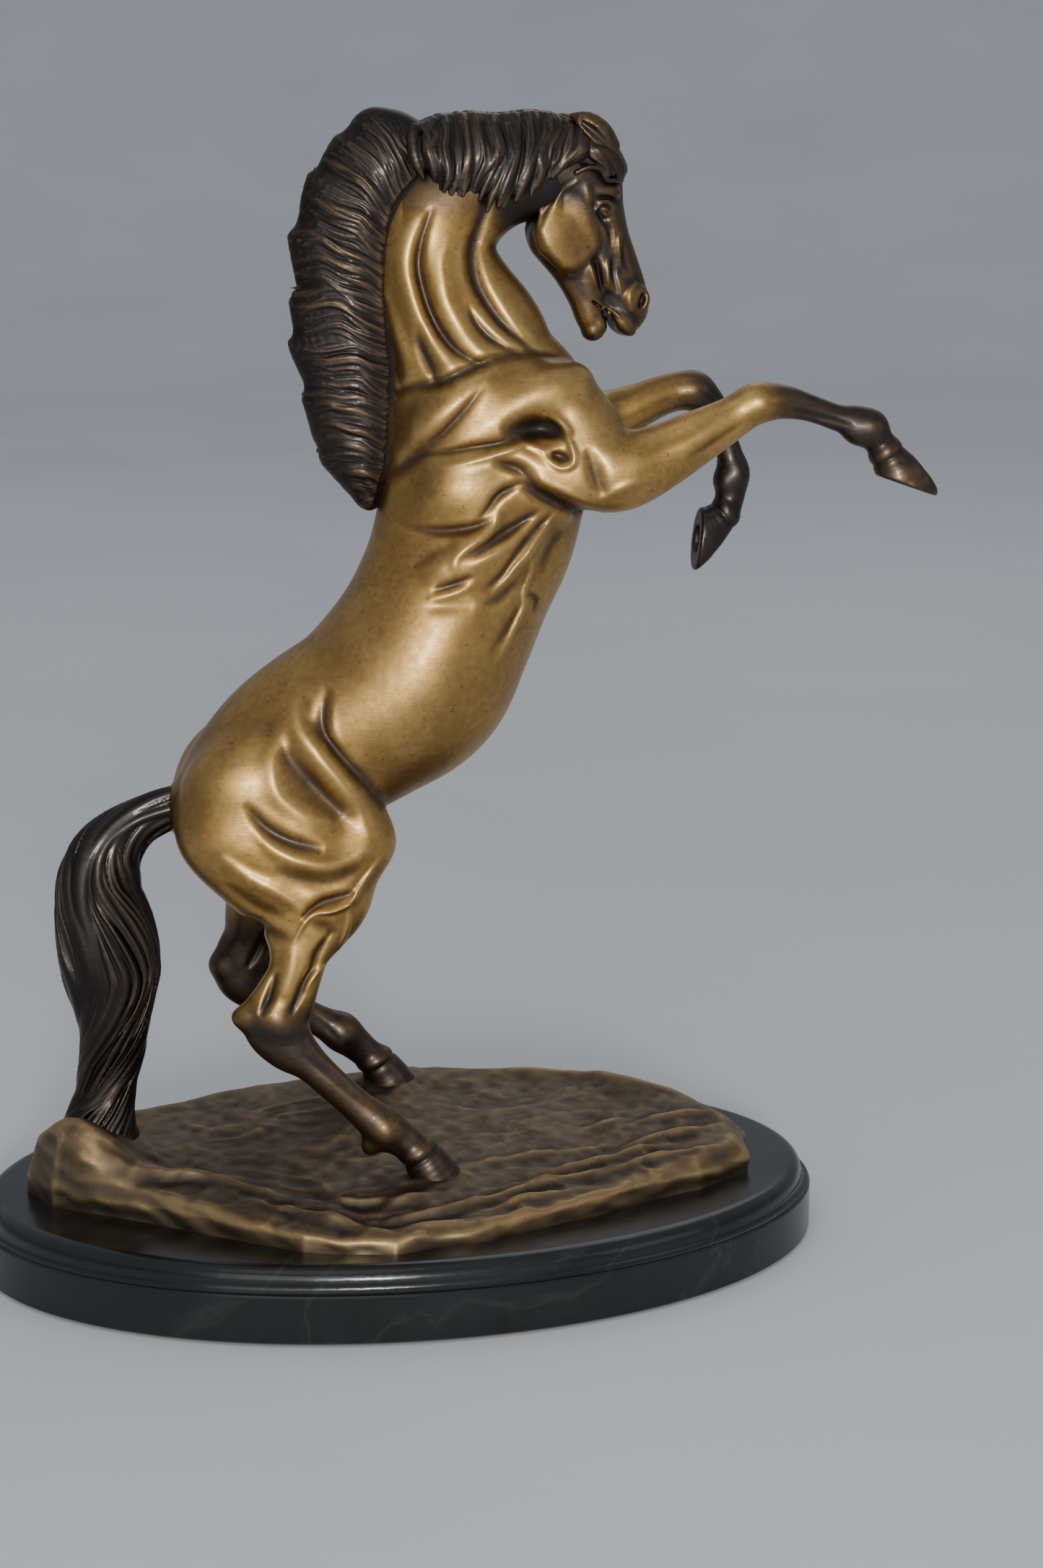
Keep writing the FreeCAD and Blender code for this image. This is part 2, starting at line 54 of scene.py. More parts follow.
class Clay:
    """A block of field values: negative inside the metal, about a distance near its surface."""

    def __init__(self, low, high, step):
        self.low = np.array(low, float)
        self.step = step
        self.count = np.ceil((np.array(high, float) - self.low) / step).astype(int) + 1
        self.axes = [(self.low[i] + step * np.arange(self.count[i])).astype(np.float32) for i in range(3)]
        self.field = np.full(self.count, FAR, np.float32)

    def window(self, low, high):
        first = np.maximum(np.floor((np.array(low) - self.low) / self.step).astype(int), 0)
        last = np.minimum(np.ceil((np.array(high) - self.low) / self.step).astype(int) + 1, self.count)
        if (first >= last).any():
            return None
        part = tuple(slice(a, b) for a, b in zip(first, last))
        x, y, z = (axis[s] for axis, s in zip(self.axes, part))
        return part, x[:, None, None], y[None, :, None], z[None, None, :]

    def distances(self, shape, margin):
        """A shape's own field round its window. A shape is a list of (low corner, high corner, distance)."""
        lows = np.min([part[0] for part in shape], axis=0) - margin
        highs = np.max([part[1] for part in shape], axis=0) + margin
        found = self.window(lows, highs)
        if found is None:
            return None, None
        region = found[0]
        field = np.full([s.stop - s.start for s in region], FAR, np.float32)
        for low, high, distance in shape:
            near = self.window(np.array(low) - margin, np.array(high) + margin)
            if near:
                part, x, y, z = near
                local = tuple(slice(s.start - r.start, s.stop - r.start) for s, r in zip(part, region))
                field[local] = np.minimum(field[local], distance(x, y, z))
        return region, field

    def join(self, shape, blend, margin=6.0):
        """Adds a shape with a soft seam."""
        region, new = self.distances(shape, max(margin, blend + 1))
        if region:
            old = self.field[region]
            overlap = np.maximum(blend - np.abs(old - new), 0.0)
            self.field[region] = np.minimum(old, new) - overlap * overlap / (4 * blend)

    def cut(self, shape, blend):
        """Takes a shape away with a soft edge."""
        region, new = self.distances(shape, 3.0)
        if region:
            old = self.field[region]
            overlap = np.maximum(blend - np.abs(old + new), 0.0)
            self.field[region] = np.maximum(old, -new) + overlap * overlap / (4 * blend)

    def press(self, low, high, depth):
        """Moves the surface in (or out, where depth is negative) by a depth function."""
        found = self.window(low, high)
        if found:
            part, x, y, z = found
            self.field[part] += depth(x, y, z)

    def soften(self, size):
        """Blurs the field over a size in mm."""
        reach = int(math.ceil(2.5 * size / self.step))
        weights = np.exp(-0.5 * (np.arange(-reach, reach + 1) * self.step / size) ** 2).astype(np.float32)
        weights /= weights.sum()
        for axis in range(3):
            count = self.count[axis]
            wide = np.pad(self.field, [(reach, reach) if i == axis else (0, 0) for i in range(3)], "edge")
            wide = np.moveaxis(wide, axis, 0)
            total = sum(weight * wide[k : k + count] for k, weight in enumerate(weights))
            self.field = np.ascontiguousarray(np.moveaxis(total, 0, axis))

    def sample(self, points):
        """Field values at points, between the grid's own by linear weights."""
        at = np.clip((points - self.low) / self.step, 0, self.count - 1.001)
        cell = at.astype(int)
        u, v, w = (at - cell).T
        i, j, k = cell.T
        f = self.field
        low = (f[i, j, k] * (1 - u) + f[i + 1, j, k] * u) * (1 - v)
        low += (f[i, j + 1, k] * (1 - u) + f[i + 1, j + 1, k] * u) * v
        high = (f[i, j, k + 1] * (1 - u) + f[i + 1, j, k + 1] * u) * (1 - v)
        high += (f[i, j + 1, k + 1] * (1 - u) + f[i + 1, j + 1, k + 1] * u) * v
        return low * (1 - w) + high * w

    def slope(self, points, reach):
        """Gradient and Laplacian at points, from six samples each at a reach."""
        rises, total = [], -6 * self.sample(points)
        for axis in np.eye(3) * reach:
            ahead, behind = self.sample(points + axis), self.sample(points - axis)
            rises.append(ahead - behind)
            total = total + ahead + behind
        return np.stack(rises, axis=1) / (2 * reach), total / reach**2

    def surface(self):
        """Points and quads of the metal's surface."""
        grid = openvdb.FloatGrid(FAR)
        grid.copyFromArray(self.field)
        points, quads = grid.convertToQuads(isovalue=0.0)
        points = points * self.step + self.low
        for _ in range(2):  # each turn moves the points closer to where the field is zero
            rise, _ = self.slope(points, self.step * 0.6)
            size = np.maximum((rise**2).sum(axis=1), 0.2)
            points = points - rise * np.clip(self.sample(points) / size, -0.4, 0.4)[:, None]
        corners = points[quads[:, :3]]
        faces = np.cross(corners[:, 1] - corners[:, 0], corners[:, 2] - corners[:, 0])
        if (faces * self.slope(corners[:, 0], self.step)[0]).sum() < 0:
            quads = quads[:, ::-1]
        return points, quads


def smooth_path(points, pieces=4):
    """Rows of numbers along a smooth line through the given rows."""
    rows = np.array(points, float)
    if len(rows) < 3:
        return rows
    ends = np.vstack([2 * rows[0] - rows[1], rows, 2 * rows[-1] - rows[-2]])
    t = (np.arange(pieces) / pieces)[:, None]
    path = []
    for a, b, c, d in zip(ends, ends[1:], ends[2:], ends[3:]):
        square, cube = 2 * a - 5 * b + 4 * c - d, 3 * b - a - 3 * c + d
        path.append(0.5 * (2 * b + (c - a) * t + square * t**2 + cube * t**3))
    return np.vstack(path + [rows[-1:]])


def fade(value, start, end):
    """0 before start, 1 after end, smooth between. start may be the larger."""
    t = np.clip((value - start) / (end - start), 0, 1)
    return t * t * (3 - 2 * t)


def outline_distance(x, y, points):
    """Distance from a closed line, negative inside it."""
    rows = np.array(points, float)
    near = np.full(np.broadcast(x, y).shape, 1e9)
    inside = np.zeros(near.shape, bool)
    for (x0, y0), (x1, y1) in zip(rows, np.roll(rows, -1, axis=0)):
        dx, dy = x1 - x0, y1 - y0
        t = np.clip(((x - x0) * dx + (y - y0) * dy) / (dx * dx + dy * dy), 0, 1)
        near = np.minimum(near, (x - x0 - dx * t) ** 2 + (y - y0 - dy * t) ** 2)
        crosses = (y0 > y) != (y1 > y)
        inside ^= crosses & (x < dx * (y - y0) / (dy if dy else 1e-9) + x0)
    return np.where(inside, -1, 1) * np.sqrt(near)


def ellipsoid(x, z, y, along, up, across, tilt=0.0):
    """An egg: half sizes along its own two side view axes and across the horse. tilt is in degrees."""
    c, s = math.cos(math.radians(tilt)), math.sin(math.radians(tilt))
    reach = max(along, up)

    def distance(px, py, pz):
        a = (px - x) * c + (pz - z) * s
        b = (pz - z) * c - (px - x) * s
        near = np.sqrt(a * a / along**2 + b * b / up**2 + (py - y) ** 2 / across**2)
        flat = np.sqrt(a * a / along**4 + b * b / up**4 + (py - y) ** 2 / across**4)
        return near * (near - 1) / np.maximum(flat, 1e-4)

    return [((x - reach, y - across, z - reach), (x + reach, y + across, z + reach), distance)]


def limb(stations, pieces=6):
    """A tapering form through stations of (x, z, y, half height, half width)."""
    shape = []
    path = smooth_path(stations, pieces)
    for one, other in zip(path, path[1:]):
        x, z, y, tall, wide = np.array([one, other]).T
        reach = tall.max()
        low = (x.min() - reach, (y - wide).min(), z.min() - reach)
        high = (x.max() + reach, (y + wide).max(), z.max() + reach)
        shape.append((low, high, limb_distance(one, other)))
    return shape


def limb_distance(one, other):
    """Distance from a stretch of elliptical section between two stations."""
    (x0, z0, y0, h0, w0), (x1, z1, y1, h1, w1) = one, other
    dx, dz = x1 - x0, z1 - z0

    def distance(px, py, pz):
        t = np.clip(((px - x0) * dx + (pz - z0) * dz) / max(dx * dx + dz * dz, 1e-6), 0, 1)
        h, w = h0 + (h1 - h0) * t, w0 + (w1 - w0) * t
        r2 = (px - x0 - dx * t) ** 2 + (pz - z0 - dz * t) ** 2
        v2 = (py - y0 - (y1 - y0) * t) ** 2
        near = np.sqrt(r2 / h**2 + v2 / w**2)
        return near * (near - 1) / np.maximum(np.sqrt(r2 / h**4 + v2 / w**4), 1e-4)

    return distance


def strand(points, radii, flat=1.0, pieces=3):
    """A round wire through points (x, y, z) with a radius at each. flat under 1 thins it across the horse."""
    shape = []
    path = smooth_path(np.column_stack([np.array(points, float), radii]), pieces)
    for one, other in zip(path, path[1:]):
        reach = max(one[3], other[3])
        low, high = np.minimum(one, other)[:3] - reach, np.maximum(one, other)[:3] + reach
        shape.append((low, high, wire_distance(one, other, flat)))
    return shape


def wire_distance(one, other, flat):
    """Distance from a stretch of wire between two rows of (x, y, z, radius)."""
    (x0, y0, z0, r0), (x1, y1, z1, r1) = one, other
    d = np.array([x1 - x0, (y1 - y0) / flat, z1 - z0])

    def distance(px, py, pz):
        qy = (py - y0) / flat
        t = np.clip(((px - x0) * d[0] + qy * d[1] + (pz - z0) * d[2]) / max(d @ d, 1e-6), 0, 1)
        off = (px - x0 - d[0] * t) ** 2 + (qy - d[1] * t) ** 2 + (pz - z0 - d[2] * t) ** 2
        return np.sqrt(off) - (r0 + (r1 - r0) * t)

    return distance


def plate(outline, out, thick, round_by, side, dome=0.012):
    """A flat piece on one side of the horse, with an outline of (x, z) points and a slightly domed face."""
    rows = smooth_path(outline[-1:] + outline + outline[:2])[4:-5]
    (x0, z0), (x1, z1), (xc, zc) = rows.min(axis=0), rows.max(axis=0), rows.mean(axis=0)
    middle = MID + side * (out - thick / 2)

    def distance(px, py, pz):
        edge = outline_distance(px, pz, rows) + round_by
        face = np.abs(py - middle) - thick / 2 + round_by + dome * ((px - xc) ** 2 + (pz - zc) ** 2)
        outside = np.sqrt(np.maximum(edge, 0) ** 2 + np.maximum(face, 0) ** 2)
        return outside + np.minimum(np.maximum(edge, face), 0) - round_by

    return [((x0, middle - thick / 2, z0), (x1, middle + thick / 2, z1), distance)]


def slab(x, z, nx, nz, low, high):
    """Everything on the far side of a plane that stands across the side view, within a box."""

    def distance(px, py, pz):
        return (x - px) * nx + (z - pz) * nz + 0 * py

    return [(low, high, distance)]


def band(clay, x, y, z, axis, width, depth, reach):
    """Presses a ring round a limb, where a plane across axis (x, z) meets it."""
    ax, az = np.array(axis, float) / math.hypot(*axis)

    def amount(px, py, pz):
        along = (px - x) * ax + (pz - z) * az
        far = np.sqrt((px - x) ** 2 + (py - y) ** 2 + (pz - z) ** 2)
        return (depth * np.exp(-((along / width) ** 2)) * np.clip((reach - far) / 2, 0, 1)).astype(np.float32)

    clay.press((x - reach, y - reach, z - reach), (x + reach, y + reach, z + reach), amount)


def join_eggs(clay, eggs):
    """Joins eggs on both sides: rows of (x, z, distance out, along, up, across, tilt, seam softness)."""
    for x, z, out, along, up, across, tilt, blend in eggs:
        for side in (-1, 1):
            clay.join(ellipsoid(x, z, MID + side * out, along, up, across, tilt), blend)


def beside(rows, outs, side):
    """Points (x, y, z) over side view rows of (x, z), at distances out from the mid plane."""
    return [(x, MID + side * out, z) for (x, z), out in zip(rows, outs)]


def crease(clay, points, width, depth, side, from_mid):
    """Presses a tapering line through (x, z) points into one side. A negative depth raises it."""
    path = smooth_path(points)
    spans = np.r_[0, np.cumsum(np.hypot(*np.diff(path, axis=0).T))]
    margin = 3 * width
    low = [path[:, 0].min() - margin, MID - OUTER, path[:, 1].min() - margin]
    high = [path[:, 0].max() + margin, MID + OUTER, path[:, 1].max() + margin]
    (high if side < 0 else low)[1] = MID + side * (from_mid - 3)

    def amount(px, py, pz):
        near, place = None, None
        for (x0, z0), (x1, z1), s0, s1 in zip(path, path[1:], spans, spans[1:]):
            dx, dz = x1 - x0, z1 - z0
            t = np.clip(((px - x0) * dx + (pz - z0) * dz) / max(dx * dx + dz * dz, 1e-6), 0, 1)
            off = (px - x0 - dx * t) ** 2 + (pz - z0 - dz * t) ** 2
            here = (s0 + (s1 - s0) * t) / spans[-1]
            if near is None:
                near, place = off, here
            else:
                place = np.where(off < near, here, place)
                near = np.minimum(off, near)
        taper = np.maximum(np.sin(np.pi * np.clip(place, 0, 1)), 0) ** 0.8
        mask = np.clip((side * (py - MID) - from_mid) / 3 + 1, 0, 1)
        half = width * (0.55 + 0.45 * taper)
        return (depth * taper * np.exp(-near / half**2) * mask).astype(np.float32)

    clay.press(low, high, amount)


def press_lines(clay, lines):
    """Presses lines into both sides of the horse: (width, depth, distance from the mid plane, *points)."""
    for width, depth, from_mid, *points in lines:
        for side in (-1, 1):
            crease(clay, points, width, depth, side, from_mid)


# The horse's masses. A station is (x, z, y, half height in the side view, half width across the horse).
TRUNK = [
    (-67, 160, MID, 13, 11),
    (-58, 161, MID, 19, 19),
    (-48, 168, MID, 25, 25),
    (-36, 177, MID, 29, 27),
    (-24, 184, MID, 31, 28.5),
    (-10, 192, MID, 32, 31),
    (4, 203, MID, 34.5, 33),
    (13, 218, MID, 33, 32),
    (21, 236, MID, 32.5, 28.6),
    (27, 252, MID, 34, 26),
    (30, 268, MID, 35, 26),
    (33, 284, MID, 36, 25),
    (27, 300, MID, 30, 21),
    (24, 312, MID, 28, 17.5),
    (18, 325, MID, 24.5, 15.5),
    (14, 338, MID, 21, 14),
    (14, 350, MID, 20, 13),
    (22, 361, MID, 19, 12),
    (34, 367, MID, 16.5, 10.5),
    (48, 369, MID, 14, 9),
]
RIGHT_HIND = [
    (-50, 160, -20, 26, 15),
    (-41, 150, -24, 27, 15),
    (-33, 138, -27, 22, 13),
    (-34, 128, -29, 16.5, 10.5),
    (-36.8, 117, -31, 10.6, 8.4),
    (-39, 108, -32.5, 9.2, 7),
    (-43, 99, -33, 10.5, 6.4),
    (-46, 92, -33, 11.2, 6.6),
    (-42, 84, -34, 9, 5.8),
    (-35, 77.5, -35, 6.4, 4.8),
    (-28, 70.5, -36, 5.8, 4.3),
    (-19, 61.5, -36.5, 5.8, 4.4),
    (-10, 53.5, -37, 7.0, 5.6),
    (-1, 46.5, -37.5, 5.6, 5.0),
    (4, 42, -37.5, 5.8, 5.6),
]
LEFT_HIND = [
    (-50, 160, 10, 26, 15),
    (-43, 148, 14, 26, 15),
    (-38, 135, 17, 21, 13),
    (-42, 125, 19, 16, 11),
    (-47, 115, 21, 11.5, 8.6),
    (-50, 107, 22.5, 9, 7),
    (-52, 98, 24, 10.6, 6.4),
    (-52, 91, 25, 10, 6.6),
    (-45, 84, 26, 7.6, 5.8),
    (-36, 78.5, 27, 6.2, 4.8),
    (-27, 73, 28, 5.6, 4.4),
    (-17, 66.5, 29, 6.8, 5.4),
    (-9, 59, 30, 5.8, 5.0),
    (-3, 53, 30.5, 6.0, 5.6),
]
RIGHT_FORE = [
    (46, 273, -23, 17, 10),
    (59, 275, -25, 15.5, 11),
    (72, 273, -27, 13.2, 9.8),
    (85, 277.5, -27, 11, 8.2),
    (97, 283.5, -27, 9.2, 7),
    (109, 289.5, -26, 7.4, 6),
    (118, 294.5, -26, 6.6, 5.9),
    (127, 295, -26, 5.8, 5.1),
    (136, 293, -26, 4.7, 4.1),
    (146, 289.5, -26, 4.6, 4.0),
    (155, 287, -26, 6.0, 5.0),
    (161, 281, -26, 5.2, 4.6),
    (164, 276, -26, 5.6, 5.2),
]
LEFT_FORE = [
    (46, 273, 13, 16, 10),
    (60, 280, 15.5, 13.5, 10.5),
    (74, 285.5, 17, 10.3, 9),
    (87, 290.5, 17, 8, 7.4),
    (97, 294.5, 17, 7, 6.2),
    (106, 296, 17, 6.6, 5.9),
    (112.5, 291.5, 17, 5.8, 5.1),
    (116.5, 284, 17, 4.6, 4.2),
    (120, 275, 17, 4.6, 4.0),
    (121.5, 267, 17, 5.7, 5.0),
    (121, 259, 17, 5.0, 4.6),
    (118.5, 252.5, 17, 5.4, 5.2),
]

# Muscles as eggs: (x, z, distance from mid plane, along, up, across, tilt, seam softness).
MUSCLES = [
    (59, 290, 14, 16, 12, 13, -42, 7),  # point of the shoulder
    (44, 298, 17, 20, 9, 10, 20, 6),  # upper shoulder
    (19, 295, 16, 17, 8, 9, 34, 7),  # shoulder blade
    (29, 288, 18, 16, 6, 8, 28, 6),
    (46, 273, 20, 18, 8, 9, -26, 5),  # triceps
    (57, 269, 21, 10, 8, 8, -12, 5),  # elbow
    (25, 274, 19, 14, 6, 7, 6, 7),
    (21, 265, 20, 12, 7, 6, -4, 8),  # broad back muscle
    (20, 246, 24, 12, 7, 6, 22, 7),
    (34, 247, 21, 13, 6, 6, 35, 6),
    (-25, 176, 22, 22, 8, 9, -52, 6),  # flank to stifle
    (-52, 172, 18, 18, 14, 12, 25, 8),  # croup
    (-60, 152, 17, 15, 13, 12, -35, 8),
    (-15, 151, 20, 11.5, 12, 11, 0, 7),  # stifle
    (-37, 160, 24, 15, 6, 7, -35, 5),
    (-40, 147, 23, 18, 7, 9, -18, 6),
    (-47, 138, 22, 14, 8, 9, -25, 6),
]


def horse_masses(clay):
    """The body, neck, thighs and arms, softly joined."""
    clay.join(limb(TRUNK, 9), 1.0, 8.0)
    for stations in (RIGHT_HIND, LEFT_HIND):
        clay.join(limb(stations), 7.0, 8.0)
    for stations in (RIGHT_FORE, LEFT_FORE):
        clay.join(limb(stations), 6.0, 8.0)
    join_eggs(clay, MUSCLES)
    clay.soften(1.1)


# Joints and tendons of the legs: (x, z, y, along, up, across, tilt, seam softness).
KNUCKLES = [
    (-56, 94, -33, 4.5, 3.6, 3.6, 0, 4),
    (-45, 93, -33, 9, 7, 7.6, -40, 3),
    (-10, 53, -37, 6, 6.5, 6.2, 0, 3),
    (-15, 47.5, -37, 3, 3.4, 3.4, 0, 3),
    (-60, 96, 24, 4, 3.6, 3.6, 0, 4),
    (-17, 67, 29, 6, 6.5, 6, 0, 3),
    (119, 295, -26, 7.5, 5.6, 6.6, 0, 3),
    (153, 284.5, -26, 4.5, 4, 4.2, -15, 3),
    (158, 286.5, -26, 5, 5, 5.2, -30, 3),
    (107, 296, 17, 6.5, 6, 6.4, 0, 3),
    (118.5, 264.5, 17, 3.6, 4, 4.2, 0, 3),
    (123, 267, 17, 3.6, 5, 4.6, 0, 3),
]


def hoof(clay, stations, planes):
    """A hoof that flares below a ridge and a groove. Planes cut its hollow sole and its front."""
    clay.join(limb(stations, 3), 2.0)
    (x0, z0, y0, tall, _), (x1, z1) = stations[0], stations[-1][:2]
    dx, dz = x1 - x0, z1 - z0
    band(clay, x0, y0, z0, (dx, dz), 0.8, 0.4, tall + 4)
    band(clay, x0 - dx * 0.25, y0, z0 - dz * 0.25, (dx, dz), 1.4, -0.3, tall + 4)
    low, high = (x1 - 16, y0 - 12, z1 - 16), (x1 + 16, y0 + 12, z1 + 16)
    for x, z, nx, nz in planes:
        clay.cut(slab(x, z, nx, nz, low, high), 1.2)
    if planes:
        x, z, nx, nz = planes[0]
        clay.cut(ellipsoid(x + nx * 0.4, z + nz * 0.4, y0, 5, 5, 3.6), 1.0)


# Stations of each hoof, and the planes (x, z, normal x, normal z) that cut a raised hoof's sole and front.
HOOVES = [
    ([(2, 43, -37.5, 6.4, 6.0), (5, 38.5, -38, 7.6, 7.0), (8, 33, -38, 8.9, 8.0)], []),
    ([(-4, 54, 30.5, 6.4, 6.0), (-1.5, 50, 31, 7.6, 7.0), (1, 45, 31, 8.9, 8.0)], []),
    (
        [(164, 276.5, -26, 5.8, 5.4), (167, 272, -26, 7.4, 6.3), (170.5, 266.5, -26, 11.4, 7.4)],
        [(169, 266.9, -0.33, -0.94), (173.9, 274.5, 0.78, 0.62)],
    ),
    (
        [(118, 252, 17, 5.8, 5.4), (114, 248.5, 17, 7.4, 6.3), (108.5, 244, 17, 11.2, 7.4)],
        [(108.8, 244.5, -0.99, 0.1), (116.1, 241.6, 0.74, -0.67)],
    ),
]


def leg_details(clay):
    """The joints and hooves."""
    for x, z, y, along, up, across, tilt, blend in KNUCKLES:
        clay.join(ellipsoid(x, z, y, along, up, across, tilt), blend)
    for stations, planes in HOOVES:
        hoof(clay, stations, planes)


# Lines in the surface: width, depth (negative where proud), distance from the mid plane, and points.
NECK_LINES = [
    (4.0, -1.9, 4, (8, 358), (4.5, 350.5), (2, 343.5), (2, 337.5), (3.5, 331), (6, 323.5), (9.3, 316),
     (14, 310), (19, 303)),
    (1.9, 2.1, 4, (12, 359), (8.8, 351), (7.2, 345), (6.8, 339), (8, 332), (10.6, 324), (14.5, 317),
     (19, 312), (27, 308)),
    (3.4, -1.4, 4, (18, 350), (14, 342), (14, 335), (15, 329), (18, 322.5), (22.5, 316), (28, 311.5),
     (33, 308)),
    (1.6, 1.2, 4, (22, 328), (25, 321.5), (29.3, 316.7), (34.8, 313.5), (41, 311)),
    (1.7, -0.5, 4, (25, 331), (28.6, 324), (34, 317.5), (42, 312.7)),
    (2.8, 2.7, 4, (31, 363), (26.5, 351), (24.6, 342), (25.8, 334.2), (28.6, 328.2), (33.4, 321.4),
     (39, 316), (46, 311)),
    (1.7, 1.3, 4, (-4.8, 330), (-3, 318), (-1, 310), (1, 300)),
    (1.9, 1.3, 4, (5.5, 322), (7.5, 314), (10, 307), (12, 301)),
    (2.5, -0.6, 4, (-3, 346), (-4, 332), (-1, 320), (2, 310), (4, 301)),
    (1.9, 1.5, 5, (-8, 291), (-3, 296.5), (4, 301), (12, 302.5), (20, 306), (30, 310), (39, 311.5),
     (47, 311.5), (57, 308)),
]
SHOULDER_LINES = [
    (3.0, 1.0, 8, (27, 303), (19.5, 294), (11, 285), (4, 278), (-1, 271)),
    (1.3, 0.6, 8, (26, 301.5), (19.5, 294), (13.5, 287.5), (7.5, 281.5)),
    (1.3, 1.1, 8, (4, 279), (16, 281), (23, 282.3), (31, 283.5), (38, 285)),
    (1.2, -1.1, 8, (11, 275.5), (21, 277.8), (28.5, 279.7), (35, 281.7), (39.5, 283.2), (45, 281.2),
     (49.5, 282), (53.5, 285)),
    (3.2, -0.7, 8, (10, 274), (22, 276), (32, 278.5), (42, 281)),
    (4.2, 2.7, 8, (31, 287), (38, 288), (46, 288), (55, 285.5)),
    (1.8, 1.0, 8, (38, 285.6), (44, 286.4), (51, 285.6)),
    (1.0, -0.9, 8, (46, 293), (51.5, 288.5), (53.3, 284), (54.6, 280), (54, 276.5), (50, 275.5),
     (46, 278.5), (44, 282)),
    (1.5, 1.8, 8, (47, 279.7), (51, 278.8), (53.5, 278)),
    (2.2, 1.8, 8, (28, 277.5), (36, 275.5), (40.5, 272.5), (43, 269)),
    (2.8, 2.6, 8, (35, 272), (43, 267.5), (50.5, 263.5), (58, 260.5), (66, 259)),
    (1.7, -0.6, 8, (38, 275), (45, 270.5), (52, 267), (60, 264)),
    (2.8, 1.4, 8, (59, 282), (61.5, 275), (63, 270), (65.5, 266)),
    (1.4, -0.6, 8, (63, 264.5), (70, 268.5), (77, 271)),
    (1.6, 1.4, 8, (38, 270.5), (31, 267), (27.5, 263), (24, 259)),
    (1.8, 1.3, 8, (-1, 256), (10, 254.7), (17.5, 255.2), (24, 256.7), (29, 259)),
    (2.0, -1.2, 8, (31, 262), (28.7, 257), (25, 253.5), (19.5, 250), (16, 246.5), (15, 242)),
    (2.0, 1.3, 8, (15, 245), (20.5, 248), (27, 250.7), (32.5, 253.7), (38, 257), (45, 262)),
    (1.8, -0.8, 8, (20, 243.5), (30.5, 249), (36, 252.2), (42, 258)),
    (1.8, 1.0, 8, (25, 235.5), (31, 240.5), (34.5, 245), (39, 250.5), (44, 255.5), (50, 261.5)),
    (0.9, -0.9, 8, (50, 260.5), (47, 256), (42.5, 250.5), (40, 247), (36, 243), (32.5, 238.5), (27.5, 234)),
    (0.9, -0.9, 8, (40.5, 249), (42.3, 242.5), (41, 238), (39.5, 234), (39.7, 229.5), (37.5, 225),
     (34, 218.5), (29, 211)),
    (1.3, 0.9, 8, (41, 234), (44.5, 230.5), (43, 226)),
    (1.7, 1.1, 8, (8, 235.6), (15, 237.8), (22, 241)),
    (1.5, -0.6, 8, (6, 232.7), (13, 234.8), (21, 237)),
    (2.5, 0.6, 8, (5, 230), (14, 230.8), (22, 231)),
    (2.5, 0.8, 8, (53, 254), (48, 246), (46, 239)),
    (2.0, 0.8, 8, (24, 230.5), (31, 233), (37, 238)),
    (3.0, 0.9, 8, (-7, 271), (0, 274), (9, 281)),
    (2.4, 0.8, 8, (2, 243), (10, 247.5), (17, 253)),
    (2.2, 0.7, 8, (27, 215), (33, 222), (38, 230)),
    (1.6, 0.8, 8, (92, 277), (104, 284), (113, 289)),
    (2.2, 0.5, 8, (76, 279), (90, 285), (104, 291)),
    (1.2, 0.6, 8, (128, 293), (140, 290), (150, 287)),
]
HIND_LINES = [
    (3.0, 1.8, 8, (-26, 205), (-28, 196), (-28, 190.5), (-25.5, 185.5), (-20.5, 179), (-15.5, 173.5),
     (-12, 168.5), (-8, 162)),
    (1.2, 0.4, 8, (-27, 201), (-28, 194), (-27, 188), (-22, 181), (-16, 174)),
    (1.5, -0.4, 8, (-25, 200), (-25.2, 191), (-21.5, 184)),
    (2.6, 0.7, 8, (-35, 202), (-32.5, 193), (-28, 186)),
    (4.0, -1.0, 8, (-38, 194), (-31, 183), (-24, 174), (-17, 164), (-12, 153)),
    (3.4, -1.2, 8, (-41, 194), (-44.5, 184), (-45, 177), (-43.5, 171), (-39, 166.5), (-32, 162),
     (-26, 160)),
    (4.4, 1.5, 8, (-43, 185), (-36, 177), (-30, 171), (-22, 162)),
    (2.4, 1.5, 8, (-55, 168), (-49, 160.5), (-44, 156.8), (-38.5, 154.4), (-29, 152)),
    (2.8, -1.2, 8, (-52, 160), (-48, 155), (-43.5, 151.5), (-37.5, 148.5), (-29, 146.5), (-20, 148),
     (-12, 152)),
    (3.4, 1.4, 8, (-46, 146), (-36, 142), (-27, 140.5), (-16, 145)),
    (2.4, -1.0, 8, (-64, 151), (-54, 143), (-46.5, 139), (-40, 134.5), (-36, 130)),
    (2.4, 1.0, 8, (-62, 141), (-51, 133), (-42, 129)),
    (2.2, 2.3, 8, (-37, 128.5), (-31, 133.3), (-26, 134.8), (-19, 136.5)),
    (1.1, -1.2, 8, (-40, 120), (-36.5, 127), (-32.5, 130.6), (-26.5, 131), (-21, 133), (-17.5, 137.5),
     (-14, 142), (-9.5, 148)),
    (1.1, -0.8, 8, (-21.3, 134), (-21, 128), (-22, 122), (-24.5, 115)),
    (2.2, 0.9, 8, (-35, 128), (-30, 126), (-25, 122)),
    (1.7, 1.9, 8, (-27, 124), (-32, 116.5), (-33.7, 111.5), (-36.6, 106.4), (-39, 101), (-42, 95)),
    (1.0, -0.6, 8, (-29, 111.5), (-34, 107.5), (-36.5, 103)),
    (1.5, 1.7, 8, (-45, 111), (-47.8, 102.3), (-51.5, 95.5)),
    (2.5, -0.7, 8, (-40, 122), (-41, 112), (-43.5, 102)),
    (2.2, 1.4, 8, (-55, 128), (-47, 123.5), (-40, 122)),
    (1.6, 0.5, 8, (-38, 83), (-28, 75), (-18, 65)),
]


